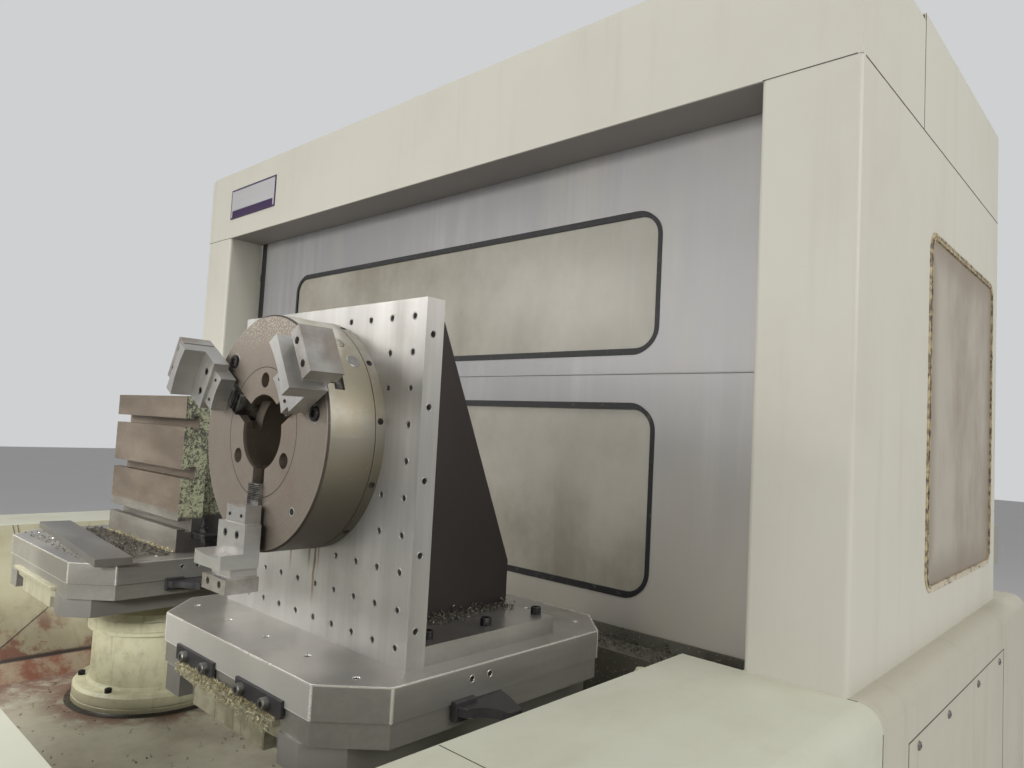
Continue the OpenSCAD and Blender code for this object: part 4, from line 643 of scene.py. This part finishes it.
spill = pallet.x.ramp(-0.30, -0.34) * pallet.y.ramp(-0.77, -0.70) * pallet.z.ramp(1.149, 1.1495)
spill = spill * pallet.noise(11, detail=7.0).ramp(0.38, 0.56)
tone = pallet.mix((worn_edge | tier_edge) * 0.9, tone, (0.90, 0.88, 0.83))
tone = pallet.mix(spill * 0.8, tone, (0.115, 0.098, 0.075))
# Painted light: the right pallet's front face is made paler and less metallic, as if lit from low in front.
right_front_light = front * pallet.x.ramp(-0.01, 0.01)
tone = pallet.mix(right_front_light * 0.5, tone, (0.60, 0.585, 0.54))
tone = pallet.mix(tier * 0.7, tone, (0.06, 0.055, 0.05))
pallet.done(tone, rough=0.26 + line * 0.15 + oily * 0.1 - worn_edge * 0.1,
            metal=0.66 - oily * 0.2 - right_front_light * 0.28, bump=line, depth=0.00012)
cad(pallet, "left_pallet", "right_pallet", bevel=0.0022)
bright = Look("bright_edge", Metallic=0.85)
glint = bright.noise(120, detail=3.0)
bright.done(bright.mix(glint, (0.60, 0.59, 0.565), (0.80, 0.79, 0.76)), rough=0.2 + glint * 0.14)
covered = {"left": (-0.96, -0.34, -0.58, -0.20), "right": (0.29, 1.01, -0.72, -0.27)}
for name, cx, body in stations:
    x0, x1, y0, y1 = covered[name]
    rims = bmesh.new()
    for i in range(-2, 3):
        for j in range(-2, 3):
            x, y = cx + i * pitch, station_y + j * pitch
            if not (x0 < x < x1 and y0 < y < y1):
                rim(rims, (x, y, pallet_top), (0, 0, 1), 0.007)
    for y in (-0.108, -0.059):
        rim(rims, (cx + pallet_half, station_y + y, pallet_top - 0.025), (1, 0, 0), 0.006)
    piece(name + "_pallet_rims", rims, bright, body, smooth=True)

# Aprons. Cream-yellow castings 74 mm high under each pallet's front, with cut lower corners, dark
# runs, a lip that collects chips and a black horn at the pallet's right side. The right apron has
# heavier runs and is darkened with painted shade. The right station also has two black oxide guide
# shoes above, held by socket screws.
apron_top, apron_front, horn_x = 1.062, -0.869, pallet_half - 0.0005
apron = Look("apron_paint_and_painted_shade")
spot = apron.noise(22, detail=7.0, rough=0.66)
drip = apron.noise(34, (1, 1, 0.03), detail=6.0, rough=0.62)
right_shade_and_runs = apron.x.ramp(-0.01, 0.01)
c = apron.mix(spot.ramp(0.40, 0.75) * 0.45, (0.36, 0.345, 0.25), (0.235, 0.212, 0.13))
thin = apron.noise(130, (1, 1, 0.014), detail=3.0).ramp(0.60, 0.66)
thin = thin * apron.noise(19, (1, 1, 0.3)).ramp(0.38, 0.52)
c = apron.mix((drip.ramp(0.58, 0.70) * 0.5 | thin) * (0.5 + right_shade_and_runs * 0.35), c, (0.07, 0.057, 0.034))
# Painted shade: the right apron is darkened as if it stood in shadow; its runs are also heavier.
c = apron.mix(right_shade_and_runs * (0.25 + spot.ramp(0.4, 0.65) * 0.4), c, (0.11, 0.098, 0.06))
from_axis = apron.x - apron.x.math("SIGN") * station_x
oxide = apron.z.ramp(apron_top + 0.0025, apron_top + 0.0035) | from_axis.ramp(horn_x - 0.002, horn_x - 0.001)
c = apron.mix(oxide, c, apron.mix(spot, (0.028, 0.027, 0.03), (0.085, 0.08, 0.082)))
apron.done(c, rough=0.36 + spot * 0.22, metal=oxide * 0.5, bump=spot, depth=0.0004)


def slab(bm, outline, lo, hi, flat="z", bevel=0.0):
    """A plate with a flat outline, from lo to hi along z or along y."""
    made = []
    for h in (lo, hi):
        made.append([bm.verts.new((u, v, h) if flat == "z" else (u, h, v)) for u, v in outline])
    n = len(outline)
    faces = [bm.faces.new(made[0]), bm.faces.new(made[1][::-1])]
    for i in range(n):
        faces.append(bm.faces.new((made[0][i], made[1][i], made[1][(i + 1) % n], made[0][(i + 1) % n])))
    if bevel:
        edges = list({e for f in faces[:2] for e in f.edges})
        bmesh.ops.bevel(bm, geom=edges, offset=bevel, segments=2, affect="EDGES", profile=0.5)


def on_lip(g):
    x, y = station_x + g.uniform(-0.200, 0.200), -0.8792 + g.gauss(0, 0.0019)
    return (x, y, apron_top + 0.0002 + abs(g.gauss(0, 0.0024))), apron_top - 0.0008


def before_lip(g):
    return (station_x + g.uniform(-0.2, 0.2), -0.8895, g.uniform(1.045, 1.064)), 0.5


cut_outline = ((-0.206, apron_top), (-0.206, 1.028), (-0.146, 1.028), (-0.146, 0.9885),
               (0.150, 0.9885), (0.150, 1.026), (0.206, 1.026), (0.206, apron_top))
arc = [math.radians(165 - 9.5 * i) for i in range(9)]
horn = [(horn_x, -0.158), (0.432, -0.149)]
horn += [(0.487 + 0.056 * math.cos(a), -0.158 + 0.056 * math.sin(a)) for a in arc]
horn += [(0.495, -0.092), (0.495, -0.066), (0.440, -0.040), (horn_x, -0.024)]
for name, cx, body in stations:
    bm = bmesh.new()
    screws = bmesh.new()
    slab(bm, [(cx + u, v) for u, v in cut_outline], apron_front, apron_front + 0.0245, "y", bevel=0.0015)
    box(bm, (cx - 0.2025, -0.886, apron_top - 0.010), (cx + 0.2025, apron_front + 0.0005, apron_top),
        bevel=0.0012)
    if cx > 0:
        for x in (-0.220, 0.048):
            box(bm, (cx + x, -0.881, 1.068), (cx + x + 0.172, -0.8738, 1.100), bevel=0.0012)
        for x in (-0.171, -0.076, 0.076, 0.171):
            socket_screw(screws, (cx + x, -0.881, 1.084), (0, -1, 0), 0.0115, 0.013)
    box(bm, (cx + horn_x, -0.633, 1.058), (cx + 0.414, -0.578, 1.095), bevel=0.0012)
    slab(bm, [(cx + u, station_y + v) for u, v in horn], 1.069, 1.087, bevel=0.0012)
    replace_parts(piece(name + "_apron_casting", bm, apron, body), name + "_apron")
    socket_screw(screws, (cx + 0.414, station_y - 0.140, 1.078), (1, 0, 0), 0.009, 0.010)
    piece(name + "_shoe_screws", screws, screw_steel, body)
bm = bmesh.new()
rng = random.Random(21)
curls(bm, rng, 3000, on_lip, radius=(0.0008, 0.0019), turns=(1.0, 2.4), width=(0.0009, 0.0016))
curls(bm, rng, 260, before_lip, radius=(0.0012, 0.003))
piece("lip_swarf", bm, swarf, "right_station", smooth=True)

# Angle plate. A 700 mm square face plate in bright brushed steel with a grid of tapped holes at
# 70 mm pitch and brown rust trails below the chuck, a bolted base and two gussets with a near-black
# brown film.
face_y, base_top, grid, chuck_z, chuck_r = -0.707, 1.188, 0.07, 1.574, 0.2446


def steel(name, light, shade, brush, stain, amount, rough=0.27):
    """Ground or brushed steel with fine lines along one axis and an oily stain."""
    k = Look(name, Anisotropic=0.3)
    tone, line, oily = steel_tone(k, light, shade, brush, stain, amount)
    k.done(tone, rough=rough + line * 0.16 + oily * 0.12, metal=0.9 - oily * amount * 0.6,
           bump=line, depth=0.00012)
    return k


def on_base(g):
    return (0.853 + abs(g.gauss(0, 0.02)), g.uniform(-0.655, -0.29), base_top + 0.0025), base_top + 0.0003


rusty = Look("face_plate_finish", Anisotropic=0.3)
line = rusty.noise(110, (1, 1, 0.035), detail=6.0, rough=0.6)
wide = rusty.noise(9, (1, 1, 0.12), detail=4.0)
oily = rusty.noise(6, detail=7.0, rough=0.6).ramp(0.5, 0.75)
bend = rusty.noise(16, detail=3.0) * 0.016 - 0.008
trails = []
for x, foot, half in ((0.583, 1.250, 0.0045), (0.652, 1.262, 0.0035),
                      (0.676, 1.195, 0.0060), (0.690, 1.272, 0.0040)):
    trails.append(abs(rusty.x - x + bend).ramp(half, half * 0.3) * rusty.z.ramp(foot, foot + 0.07))
trail = rusty.z.ramp(1.345, 1.335) * (trails[0] | trails[1] | trails[2] | trails[3])
c = rusty.mix(line * 0.45 + wide.ramp(0.3, 0.68) * 0.55, (0.345, 0.335, 0.315), (0.61, 0.60, 0.575))
c = rusty.mix(oily * 0.25, c, (0.27, 0.235, 0.17))
c = rusty.mix(trail * 0.85, c, (0.20, 0.10, 0.035))
rusty.done(c, rough=0.36 + line * 0.14 + oily * 0.1, metal=0.78 - trail * 0.6, bump=line, depth=0.00012)
cad(rusty, "face_plate", bevel=0.0015)
ground_base = steel("face_plate_steel", (0.56, 0.55, 0.53), (0.325, 0.315, 0.30), (0.06, 1, 1),
                    (0.30, 0.25, 0.18), amount=0.22, rough=0.24)
cad(ground_base, "angle_base", bevel=0.002)
gusset = Look("gusset_film", Metallic=0.45)
veil = gusset.noise(3.4, detail=6.0)
gusset.done(gusset.mix(veil, (0.022, 0.017, 0.016), (0.052, 0.042, 0.040)), rough=0.36 + veil * 0.25)
cad(gusset, "gussets", bevel=0.0015)
rims = bmesh.new()
for i in range(10):
    for j in range(10):
        x, z = station_x - 4.5 * grid + grid * i, 1.185 + grid * j
        if math.hypot(x - station_x, z - chuck_z) > chuck_r + 0.0099:
            rim(rims, (x, face_y, z), (0, -1, 0), 0.0055, width=0.0027)
for z in (1.22, 1.36, 1.50, 1.64, 1.78):
    rim(rims, (1.0, face_y + 0.019, z), (1, 0, 0), 0.006, width=0.002)
worn = Look("countersink_steel", Metallic=0.6)
worn.done(worn.mix(worn.noise(90), (0.22, 0.213, 0.20), (0.52, 0.51, 0.485)),
          rough=0.26 + worn.noise(60) * 0.15)
piece("face_plate_rims", rims, worn, "right_station", smooth=True)
bm = bmesh.new()
for y in (-0.623, -0.459, -0.296):
    for x in (0.960, 0.340):
        socket_screw(bm, (x, y, base_top), (0, 0, 1), 0.012, 0.016)
piece("base_screws", bm, black, "right_station")
bm = bmesh.new()
curls(bm, random.Random(31), 420, on_base)
piece("angle_plate_chips", bm, dark_swarf, "right_station")

# Chuck. 490 mm across with a through bore of 156 mm, turned all over: fine rings and a brown film
# with pale specks on the face, a rim with a painted highlight above and painted shade below, painted
# shade in the bore and along the face's outer edge, a cover ring and sunk bolts. The adapter behind
# it has a row of small black screws.
inward = Vector((0, 1, 0))
centre = Vector((station_x, -0.837, chuck_z))


def radial(degrees):
    """Two unit vectors in the chuck's face: away from its axis, and round it."""
    a = math.radians(degrees)
    return Vector((math.cos(a), 0, math.sin(a))), Vector((-math.sin(a), 0, math.cos(a)))


def from_chuck_axis(k):
    x, z = k.x - station_x, k.z - chuck_z
    return (x * x + z * z).math("SQRT")


chuck = Look("chuck_steel_and_painted_light", Anisotropic=0.35)
radius = from_chuck_axis(chuck)
groove = (radius * 2600).math("SINE") * 0.5 + 0.5
ring_space = chuck.node("ShaderNodeCombineXYZ", X=radius * 30, Y=chuck.y * 2, Z=0.0)
turned = chuck.node("ShaderNodeTexNoise", Vector=ring_space, Scale=9.0, Detail=5.0)
film = chuck.noise(4.2, detail=7.0, rough=0.62)
lichen = chuck.z.ramp(1.735, 1.80) * chuck.cells(210).ramp(0.55, 0.15)
skin = radius.ramp(chuck_r - 0.0006, chuck_r)
# Painted shade inside the bore.
bore = chuck.y.ramp(-0.831, -0.829) * radius.ramp(0.082, 0.079)
ring_joint = abs(radius - 0.1352).ramp(0.0013, 0.0006) * chuck.y.ramp(-0.8355, -0.8365)
# Painted shade: a thin dark ring along the outer edge of the face.
edge = radius.ramp(0.2412, 0.2420) * chuck.y.ramp(-0.8318, -0.8330)
speck = chuck.cells(150).ramp(0.11, 0.05) * film.ramp(0.38, 0.54)
c = chuck.mix(turned, (0.195, 0.165, 0.135), (0.325, 0.283, 0.240))
c = chuck.mix(film.ramp(0.45, 0.72) * 0.55, c, (0.20, 0.148, 0.105))
c = chuck.mix(lichen * 0.75, c, (0.50, 0.47, 0.39))
# Painted light on the rim: a painted highlight above, painted shade below.
c = chuck.mix(skin, c, chuck.mix(chuck.z.ramp(1.50, 1.72), (0.23, 0.205, 0.150), (0.56, 0.54, 0.50)))
c = chuck.mix(skin * film.ramp(0.44, 0.62) * chuck.z.ramp(1.40, 1.52) * 0.55, c, (0.30, 0.25, 0.125))
c = chuck.mix(bore, c, (0.145, 0.118, 0.09))
c = chuck.mix(ring_joint, c, (0.04, 0.033, 0.028))
# Painted shade: the lower rim is darkened further.
c = chuck.mix(skin * chuck.z.ramp(1.56, 1.42) * (0.9 - turned * 0.4), c, (0.10, 0.092, 0.078))
c = chuck.mix(edge, c, (0.075, 0.062, 0.052))
c = chuck.mix(speck * 0.7, c, (0.62, 0.60, 0.54))
chuck.done(c, rough=0.33 + turned * 0.14 + film * 0.12, metal=0.74 - (speck | skin * 0.3 | lichen) * 0.6,
           bump=groove, depth=0.00005)
cad(chuck, "chuck_body", "chuck_cover_ring", bevel=0.0015)
bm = bmesh.new()
bolts = bmesh.new()
marks = bmesh.new()
for k in range(3):
    out, along = radial(30 + 120 * k)
    hole = centre + out * 0.192 - along * 0.062
    socket_screw(bm, hole - inward * 0.0002, -inward, 0.0145, 0.006)
    rim(marks, hole, -inward, 0.0160, width=0.0022, proud=0.0002)
    out, along = radial(90 + 120 * k)
    socket_screw(bolts, centre + out * 0.108 + inward * 0.030, -inward, 0.012, 0.014)
hole = centre + Vector((0.138, 0, -0.149))
rim(marks, hole, -inward, 0.0068, width=0.0022)
lathe(bm, hole - inward * 0.0001, -inward, ((0.0068, 0, 0), (0.0068, 0.0003, 0), (0, 0.0003, 0)))
piece("chuck_face_rims", marks, worn, "right_station", smooth=True)
piece("chuck_face_screws", bm, black, "right_station")
piece("cover_ring_bolts", bolts, chuck, "right_station")
bm = bmesh.new()
out, along = radial(38)
plug = ((0.0150, 0, 0), (0.0150, 0.0013, 0), (0.0138, 0.0020, 0), (0, 0.0020, 0))
lathe(bm, centre + inward * 0.080 + out * (chuck_r - 0.0006), out, plug)
piece("chuck_rim_plug", bm, worn, "right_station")
bm = bmesh.new()
out, along = radial(50)
plug = ((0.0125, 0, 0), (0.0125, 0.0021, 0), (0, 0.0024, 0))
lathe(bm, centre + inward * 0.065 + out * (chuck_r - 0.0016), out, plug)
piece("chuck_sling_plug", bm, chuck, "right_station", smooth=True)
bm = bmesh.new()
for i in range(12):
    out, along = radial(30 * i + 8)
    lathe(bm, centre + inward * 0.1185 + out * chuck_r, out,
          ((0.0065, 0, 0), (0.0065, 0.0012, 0), (0.003, 0.0012, 1), (0, 0.0004, 0)))
piece("adapter_screws", bm, black, "right_station")

# Jaws. Hardened serrated master jaws and stepped top jaws in bright steel with concave gripping
# faces, browned at their outer ends, each with two black socket screws and two small plugs. The
# masters' serrations show as nine dark teeth further in.
jaw = Look("jaw_steel", Anisotropic=0.3)
tone, line, oily = steel_tone(jaw, (0.63, 0.62, 0.595), (0.37, 0.36, 0.34), (1, 0.2, 1),
                              (0.22, 0.20, 0.165), 0.3, scale=1.6)
browned = from_chuck_axis(jaw).ramp(0.2875, 0.2885) * jaw.noise(14, detail=6.0).ramp(0.25, 0.6)
jaw.done(jaw.mix(browned * 0.75, tone, (0.20, 0.165, 0.13)), rough=0.28 + line * 0.16 + oily * 0.12,
         metal=0.85 - browned * 0.25, bump=line, depth=0.00012)
cad(jaw, "top_jaw_1", "top_jaw_2", "top_jaw_3", bevel=0.0015)
master = Look("master_jaw_steel", Metallic=0.75)
grease = master.noise(40, detail=6.0)
master.done(master.mix(grease.ramp(0.4, 0.7), (0.045, 0.042, 0.04), (0.27, 0.255, 0.235)),
            rough=0.28 + grease * 0.25)
cad(master, "master_jaw_1", "master_jaw_2", "master_jaw_3", bevel=0.001)
tooth_r, tooth_pitch = 0.0014, 0.0036
for k in range(3):
    out, along = radial(30 + 120 * k)
    bm = bmesh.new()
    for t in (-0.024, 0.024):
        socket_screw(bm, centre + out * 0.205 + along * t - inward * 0.0412, -inward, 0.0072, 0.0080)
        socket_screw(bm, centre + out * 0.168 + along * t - inward * 0.0428, -inward, 0.0035, 0.0018)
    for i in range(9):
        base = centre + out * (0.109 + tooth_pitch * i) - inward * 0.009
        m = Matrix(((along.x, out.x, 0, base.x), (0, 0, -1, base.y), (along.z, out.z, 0, base.z), (0, 0, 0, 1)))
        bmesh.ops.create_cone(bm, cap_ends=True, segments=3, radius1=tooth_r, radius2=tooth_r, depth=0.042,
                              matrix=m @ Matrix.Rotation(math.radians(90), 4, "Y"))
    piece(f"jaw_screws_{k + 1}", bm, black, f"jaw_{k + 1}")

# Slotted knee. A cast knee 600 mm wide and 510 mm high with three T-slots; its face is ground and
# brown-grey, its sides carry pale green paint chipped down to dark iron. A strap clamp holds the
# flat bar, and chips lie on the pallet round its foot.
knee = Look("knee_finish")
grain = knee.noise(7, (0.3, 1, 1), detail=7.0, rough=0.6)
fine = knee.noise(120, (0.06, 1, 1), detail=4.0)
flank = abs(knee.x + station_x).ramp(0.2985, 0.2995)
painted = flank | knee.y.ramp(-0.49, -0.488)
foot_tone = knee.mix(grain.ramp(0.3, 0.7), (0.20, 0.185, 0.16), (0.40, 0.385, 0.345))
ground = knee.mix(grain.ramp(0.35, 0.7), (0.20, 0.160, 0.122), (0.325, 0.268, 0.210))
ground = knee.mix(knee.z.ramp(1.285, 1.275) * 0.8, ground, foot_tone)
chip = (knee.noise(88, detail=10.0, rough=0.85) + knee.noise(10) * 0.25).ramp(0.60, 0.66)
coat = knee.mix(knee.noise(12), (0.30, 0.315, 0.195), (0.44, 0.445, 0.31))
side = knee.mix(chip, coat, (0.05, 0.052, 0.042))
side = knee.mix(knee.z.ramp(1.27, 1.255), side, (0.045, 0.04, 0.038))
knee.done(knee.mix(painted, ground, side), rough=0.33 + fine * 0.18 + chip * 0.1,
          metal=(1.0 - painted) * 0.7, bump=fine + chip * flank, depth=0.0002)
cad(knee, "slotted_knee", bevel=0.0015)
bar = steel("bar_steel", (0.36, 0.35, 0.325), (0.225, 0.215, 0.20), (0.08, 1, 1), (0.17, 0.15, 0.12),
            amount=0.4, rough=0.33)
cad(bar, "flat_bar", bevel=0.0012)
stud_x, stud_y, strap_foot, strap_top = -0.313, -0.495, 1.1942, 1.216
bm = bmesh.new()
box(bm, (-0.345, -0.520, strap_foot), (-0.250, -0.470, strap_top), bevel=0.003)
box(bm, (-0.282, -0.515, pallet_top + 0.0002), (-0.252, -0.475, strap_foot), bevel=0.002)
rod(bm, (stud_x, stud_y, pallet_top + 0.0002), (stud_x, stud_y, 1.262), 0.008)
lathe(bm, (stud_x, stud_y, strap_top), (0, 0, 1),
      ((0.016, 0, 0), (0.016, 0.003, 0), (0.0125, 0.003, 1), (0.0125, 0.017, 1), (0.008, 0.017, 0)))
piece("strap_clamp", bm, black, "left_station")


def before_knee(g):
    x, y = g.uniform(-0.98, -0.33), -0.585 - abs(g.gauss(0, 0.045))
    return (x, y, pallet_top + 0.0015 + g.random() ** 2 * 0.003), pallet_top + 0.0003


def on_front(g):
    return (g.uniform(-0.97, -0.33), g.uniform(-0.84, -0.58), pallet_top + 0.0015), pallet_top + 0.0003


def along_foot(g):
    x, y = g.uniform(-0.945, -0.355), -0.5665 - abs(g.gauss(0, 0.003))
    return (x, y, pallet_top + 0.0015), pallet_top + 0.0003


bm = bmesh.new()
rng = random.Random(41)
curls(bm, rng, 1300, before_knee, radius=(0.001, 0.0032))
curls(bm, rng, 500, on_front, radius=(0.001, 0.003))
piece("left_pallet_chips", bm, dark_swarf, "left_station")
bm = bmesh.new()
curls(bm, rng, 500, along_foot, radius=(0.001, 0.003))
piece("knee_foot_chips", bm, swarf, "left_station")

# Bed, saddle, table, column and head. The bed, saddle and magazine stand are castings in dark
# grey-green paint, the column and head in a paler one. Guideways, ball screws, the rotary table,
# the spindle and the magazine disc are bright machined steel.
casting = paint("casting_paint", (0.235, 0.245, 0.215), (0.07, 0.06, 0.045), cloud=0.5, runs=0.3, rough=0.5)
cad(casting, "bed", "table_saddle", "magazine_stand", bevel=0.004)
column_paint = paint("column_paint", (0.50, 0.515, 0.47), (0.20, 0.185, 0.14), cloud=0.25, runs=0.3, rough=0.45)
cad(column_paint, "column", "spindle_head", bevel=0.004)
machined = steel("machined_steel", (0.60, 0.595, 0.58), (0.38, 0.375, 0.36), (1, 0.1, 1),
                 (0.2, 0.18, 0.14), amount=0.2)
cad(machined, "axis_drives", "b_table", "spindle", "magazine_disc", bevel=0.001)
cad(dark, "tool_arm", bevel=0.002)
disc_y, disc_z, pocket_ring, spindle_z, table_y = 2.15, 1.75, 0.5, 1.3, 0.76
collar = ((0.0425, 0, 0), (0.0455, 0.001, 0), (0.0455, 0.008, 0), (0.0425, 0.009, 0))
bm = bmesh.new()
for i in range(24):
    a = 2 * math.pi * i / 24
    for x, way in ((-1.2504, -1), (-1.3596, 1)):
        pocket = (x, disc_y + pocket_ring * math.cos(a), disc_z + pocket_ring * math.sin(a))
        lathe(bm, pocket, (way, 0, 0), collar, 20)
piece("pocket_collars", bm, black, "magazine")
nose, flange = bmesh.new(), bmesh.new()
for made, count, first, ring, y, r, h in ((nose, 6, 30, 0.070, 1.4799, 0.006, 0.006),
                                          (flange, 12, 0, 0.165, 1.5405, 0.009, 0.004)):
    for i in range(count):
        a = math.radians(360 / count * i + first)
        socket_screw(made, (ring * math.cos(a), y, spindle_z + ring * math.sin(a)), (0, -1, 0), r, h)
piece("spindle_nose_screws", nose, black, "spindle_shaft")
piece("spindle_flange_screws", flange, black, "head")
face_screw = ((0.012, 0.0, 0), (0.012, 0.004, 0), (0.005, 0.004, 1), (0.005, 0.002, 1), (0, 0.002, 0))
bm = bmesh.new()
for i in range(4):
    a = math.radians(90 * i + 45)
    lathe(bm, (0.12 * math.cos(a), table_y + 0.12 * math.sin(a), 0.985), (0, 0, 1), face_screw)
piece("table_face_screws", bm, black, "table")

# Rear enclosure, cabinet and tank. Plain sheet panels in the cover paint held by pan-head screws,
# a beige cabinet with a hinged door and louvres, and a grey tank with the rising conveyor.
cad(cover_paint, "rear_enclosure", bevel=0.001)
cabinet = paint("cabinet_paint", (0.52, 0.505, 0.42), (0.30, 0.27, 0.19), cloud=0.2, runs=0.15, rough=0.5)
cad(cabinet, "electrical_cabinet", "cabinet_door", bevel=0.0015)
tank = paint("tank_paint", (0.36, 0.365, 0.32), (0.13, 0.11, 0.08), cloud=0.45, runs=0.35, low=(0.35, 0.0, 0.4))
cad(tank, "coolant_tank", bevel=0.002)
louvre_x, door_face, lower_row, upper_row = 0.28, 3.6035, 0.30, 1.72
bm = bmesh.new()
for i in range(14):
    for row in (lower_row, upper_row):
        z = row + 0.022 * i
        box(bm, (-louvre_x, door_face, z), (louvre_x, door_face + 0.0075, z + 0.009), bevel=0.002)
piece("cabinet_louvres", bm, cabinet, "cabinet_leaf")
pan_head = ((0.009, 0, 0), (0.0075, 0.003, 0), (0.0035, 0.0042, 0), (0.0035, 0.002, 1), (0, 0.002, 0))
bm = bmesh.new()
for z in (0.35, 1.05, 1.75, 2.35):
    for y in (1.62, 2.0, 2.4, 2.8):
        lathe(bm, (-cover_side, y, z), (-1, 0, 0), pan_head)
    for x in (-0.9, 0.9):
        lathe(bm, (x, 3.10, z), (0, 1, 0), pan_head)
piece("enclosure_screws", bm, screw_steel, "frame")
neck_x, neck_y = 1.2, 1.840
bm = bmesh.new()
box(bm, (1.03, 1.76, 0.4202), (1.37, 1.98, 0.4262), bevel=0.002)
rod(bm, (neck_x, neck_y, 0.679), (neck_x, neck_y, 0.705), 0.056, 0.050, 32)
piece("tank_lid", bm, tank, "frame")

# Operator side. A sliding door with a small window and a bar handle, and a pendant whose screen
# bezel, key field and buttons are plain, with no lettering.
cad(cover_paint, "operator_door", bevel=0.0015)
panel = paint("panel_paint", (0.45, 0.455, 0.40), (0.22, 0.20, 0.15), cloud=0.15, runs=0.1, rough=0.45)
cad(panel, "pendant", bevel=0.002)
bm = bmesh.new()
box(bm, (-2.098, 0.6305, 1.478), (-1.802, 0.6335, 1.704))
screen = Look("dark_screen", Coat_Weight=0.8, IOR=1.5)
screen.done(screen.mix(screen.noise(4), (0.012, 0.014, 0.016), (0.03, 0.033, 0.036)),
            rough=0.12 + screen.noise(9) * 0.1)
piece("pendant_screen", bm, screen, "control_pendant")
key, key_pitch = 0.022, 0.030
bm = bmesh.new()
for i in range(8):
    for j in range(2):
        x, z = -2.062 + key_pitch * i, 1.405 + key_pitch * j
        box(bm, (x, 0.6205, z), (x + key, 0.6252, z + key), bevel=0.002)
keys = Look("key_plastic")
keys.done(keys.mix(keys.noise(40), (0.09, 0.09, 0.085), (0.14, 0.14, 0.13)), rough=0.45)
piece("pendant_keys", bm, keys, "control_pendant")
for node, name, shade, light, bevel in (
        ("e_stop_button", "red_plastic", (0.50, 0.012, 0.010), (0.60, 0.022, 0.016), 0.002),
        ("start_button", "green_plastic", (0.02, 0.20, 0.05), (0.03, 0.26, 0.07), 0.0015)):
    button_look = Look(name)
    tone = button_look.mix(button_look.noise(60), shade, light)
    button_look.done(tone, rough=0.28 + button_look.noise(30) * 0.1)
    cad(button_look, node, bevel=bevel)
knob = Look("knob_plastic")
knob.done(knob.mix(knob.noise(80), (0.015, 0.015, 0.015), (0.035, 0.035, 0.035)), rough=0.45)
cad(knob, "override_knob", bevel=0.001)

# Stage. A plain pale floor and a pale surround, wide lamps in front, at the right, overhead and
# behind, and three small ones aimed at the left station and the tray.
floor = bpy.data.meshes.new("floor")
bm = bmesh.new()
bmesh.ops.create_grid(bm, x_segments=1, y_segments=1, size=30.0, matrix=Matrix.Translation((0, 0, -0.0005)))
bm.to_mesh(floor)
bm.free()
floor_ob = bpy.data.objects.new("floor", floor)
bpy.context.scene.collection.objects.link(floor_ob)
pale_floor = Look("pale_floor")
pale_floor.done(pale_floor.mix(pale_floor.noise(0.8), (0.70, 0.70, 0.69), (0.74, 0.74, 0.73)), rough=0.75)
floor.materials.append(pale_floor.mat)


def lamp(name, place, aim, size, power, colour=(1, 1, 1), spread=180):
    data = bpy.data.lights.new(name, "AREA")
    data.shape, data.size, data.size_y, data.energy, data.color = "RECTANGLE", size[0], size[1], power, colour
    data.spread = math.radians(spread)
    ob = bpy.data.objects.new(name, data)
    ob.location = place
    ob.rotation_euler = (Vector(aim) - Vector(place)).to_track_quat("-Z", "Y").to_euler()
    bpy.context.scene.collection.objects.link(ob)


warm, soft = (1.0, 0.985, 0.95), (1.0, 0.99, 0.97)
lamp("lamp_front", (0.2, -9.0, 3.3), (0.2, 0.0, 1.2), (8.0, 2.4), 284, (1.0, 0.99, 0.985))
lamp("lamp_left", (-2.7, -3.9, 3.05), (-0.65, -0.6, 0.7), (1.6, 0.7), 15, warm, spread=75)
lamp("lamp_near", (1.6, -3.2, 2.2), (-0.75, -0.5, 0.75), (0.9, 0.5), 5.5, (1.0, 0.99, 0.965), spread=44)
lamp("lamp_tray", (-1.25, -1.95, 2.6), (-0.95, -0.85, 0.62), (0.5, 0.4), 2.5, warm, spread=40)
lamp("lamp_right", (5.6, 0.6, 3.6), (1.4, 0.8, 1.4), (4.5, 2.0), 118, warm)
lamp("lamp_top", (0.2, -1.0, 5.2), (0.2, -0.6, 0.0), (4.6, 0.9), 48, soft)
lamp("lamp_back", (0.0, 2.6, 5.6), (0.0, 2.2, 0.0), (3.0, 2.2), 90, soft)
world = bpy.data.worlds.new("surround")
bpy.context.scene.world = world
world.use_nodes = True
tree = world.node_tree
ground = tree.nodes["Background"]
ground.inputs["Color"].default_value = (0.88, 0.88, 0.90, 1)
ground.inputs["Strength"].default_value = 0.40
seen = tree.nodes.new("ShaderNodeBackground")
seen.inputs["Color"].default_value = (0.62, 0.63, 0.64, 1)
pick = tree.nodes.new("ShaderNodeMixShader")
rays = tree.nodes.new("ShaderNodeLightPath")
tree.links.new(rays.outputs["Is Camera Ray"], pick.inputs[0])
tree.links.new(ground.outputs[0], pick.inputs[1])
tree.links.new(seen.outputs[0], pick.inputs[2])
tree.links.new(pick.outputs[0], tree.nodes["World Output"].inputs["Surface"])

# Camera: stands at the right front corner at eye height, looking in over the right guard.
camera = bpy.data.cameras.new("camera")
camera.sensor_width, camera.lens = 36.0, 25.645
camera.shift_y = 0.001
camera.clip_start = 0.05
cam = bpy.data.objects.new("camera", camera)
right = (0.734414, 0.676653, 0.052696)
up = (0.002692, -0.080546, 0.996747)
back = (0.678696, -0.731883, -0.060976)
cam.matrix_world = Matrix(((right[0], up[0], back[0], 2.05794), (right[1], up[1], back[1], -1.60032),
                           (right[2], up[2], back[2], 1.60594), (0, 0, 0, 1)))
bpy.context.scene.collection.objects.link(cam)
bpy.context.scene.camera = cam
bpy.context.scene.view_settings.view_transform = "Standard"
